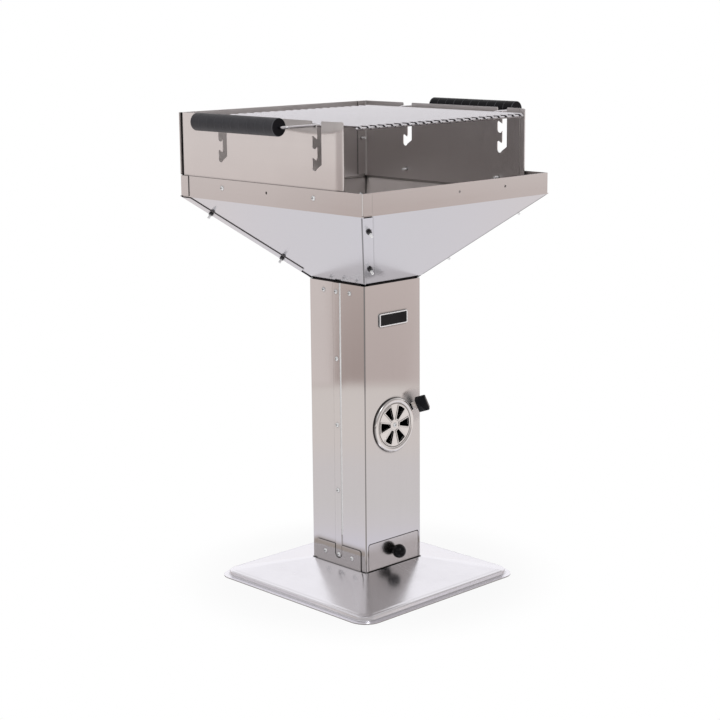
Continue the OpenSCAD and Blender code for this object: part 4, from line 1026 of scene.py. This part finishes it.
# %% Foot rings
RING_STEPS = 64
FOOT_PROFILE = [
    (211.5, 36.5, 0.0), (211.5, 36.5, 1.4), (210.9, 35.9, 2.0), (203.4, 28.4, 2.0),
    (201.4, 26.4, 2.5), (200.1, 25.1, 4.2), (200.0, 25.0, 8.6), (199.3, 24.4, 10.3),
    (197.6, 23.2, 11.3), (195.6, 22.0, 11.5), (193.6, 21.2, 11.9), (191.8, 20.7, 12.7),
    (189.0, 20.3, 13.3), (82.0, 10.0, 35.95), (77.8, 7.6, 36.9), (76.8, 6.6, 37.7),
    (75.6, 6.0, 38.0), (61.4, 1.0, 38.0), (61.0, 1.0, 37.6), (61.0, 1.0, 36.0),
    (74.5, 4.4, 36.0), (78.5, 5.0, 34.6), (188.0, 18.6, 11.45), (197.4, 22.6, 9.4),
    (198.0, 23.0, 7.8), (198.0, 23.0, 0.0)]


def foot_ring(bm, half, radius, height):
    """A square ring with round corners; gives its edges."""
    made = bmesh.ops.create_circle(bm, cap_ends=False, radius=radius * MM, segments=RING_STEPS)
    bmesh.ops.rotate(bm, verts=made["verts"], cent=(0, 0, 0),
                     matrix=Matrix.Rotation(math.pi / RING_STEPS, 3, "Z"))
    shift = (half - radius) * MM
    for vert in made["verts"]:
        vert.co += Vector((math.copysign(shift, vert.co.x), math.copysign(shift, vert.co.y),
                           height * MM))
    return {edge for vert in made["verts"] for edge in vert.link_edges}


foot_bm = bmesh.new()
rings = [foot_ring(foot_bm, *step) for step in FOOT_PROFILE]
for lower, upper in zip(rings, rings[1:] + rings[:1]):
    bmesh.ops.bridge_loops(foot_bm, edges=list(lower | upper))
bmesh.ops.recalc_face_normals(foot_bm, faces=foot_bm.faces)
foot = smooth_mesh("foot_pan", foot_bm)
finish_piece(foot, "body", "foot", "base_plate")
flats_first(foot)
print("foot faces:", len(foot.data.polygons))

# %% [markdown]
# ## The foot's ears
#
# The three ears that hold the column are bent up from the foot's land and
# lie flat against the column's outside. Their outline is right in the solid
# already, so a copy of it is cut off at the land, and its cut edges are drawn
# down into the land and closed.

# %% Ears
LAND_Z = 0.038
CUT_ABOVE = 0.05 * MM
DRAWN_DOWN = 1.0 * MM

ear_bm = merged_copy("base_plate")
bmesh.ops.bisect_plane(ear_bm, geom=ear_bm.verts[:] + ear_bm.edges[:] + ear_bm.faces[:],
                       dist=MERGE_WITHIN, plane_co=(0, 0, LAND_Z + CUT_ABOVE), plane_no=(0, 0, 1),
                       clear_inner=True)
cut_edges = [edge for edge in ear_bm.edges if edge.is_boundary]
drawn = bmesh.ops.extrude_edge_only(ear_bm, edges=cut_edges)
bmesh.ops.translate(ear_bm, vec=(0, 0, -DRAWN_DOWN),
                    verts=[item for item in drawn["geom"] if isinstance(item, bmesh.types.BMVert)])
bmesh.ops.holes_fill(ear_bm, edges=[edge for edge in ear_bm.edges if edge.is_boundary])
bmesh.ops.recalc_face_normals(ear_bm, faces=ear_bm.faces)
ears = smooth_mesh("column_ears", ear_bm)
finish_piece(ears, "body", "column", "base_plate")
soften(ears)
print("ear faces:", len(ears.data.polygons))

# %% [markdown]
# ## The shutter's block knob
#
# The lever's end is bent forward and carries a black block with well-rounded
# edges. It is a cube with its edges bevelled in four steps, laid on the
# tongue by the same turns as the lever: round the vent, out along the lever,
# and forward by the bend.

# %% Block knob
VENT_PLACE = Vector((0, -0.075, 0.318))
LEVER_TURN = math.radians(28.5)
LEVER_BEND = math.radians(52.0)
BEND_AT = (58.5 * MM, 0, 0.3 * MM)
BLOCK_SIZE = (21.5 * MM, 30.5 * MM, 13.0 * MM)
BLOCK_AT = (20.75 * MM, 0, 0.6 * MM)
BLOCK_ROUND = 2.4 * MM
BLOCK_STEPS = 4

block_bm = bmesh.new()
bmesh.ops.create_cube(block_bm, size=1.0)
bmesh.ops.scale(block_bm, vec=BLOCK_SIZE, verts=block_bm.verts)
bmesh.ops.bevel(block_bm, geom=block_bm.edges[:], offset=BLOCK_ROUND, segments=BLOCK_STEPS,
                profile=0.5, affect="EDGES", material=-1)
on_tongue = (Matrix.Translation(VENT_PLACE) @ Matrix.Rotation(math.pi / 2, 4, "X")
             @ Matrix.Rotation(LEVER_TURN, 4, "Z") @ Matrix.Translation(BEND_AT)
             @ Matrix.Rotation(-LEVER_BEND, 4, "Y") @ Matrix.Translation(BLOCK_AT))
bmesh.ops.transform(block_bm, matrix=on_tongue, verts=block_bm.verts)
block = smooth_mesh("shutter_block", block_bm)
finish_piece(block, "shutter", "knob", "vent_knob")
print("block knob faces:", len(block.data.polygons))

# %% [markdown]
# ## Colours as written
#
# The Standard view shows each colour as it is written. A filmic view would
# grey the white studio and flatten the steel.

# %% Colour settings
scene = bpy.context.scene
scene.view_settings.view_transform = "Standard"
print("view:", scene.view_settings.view_transform)
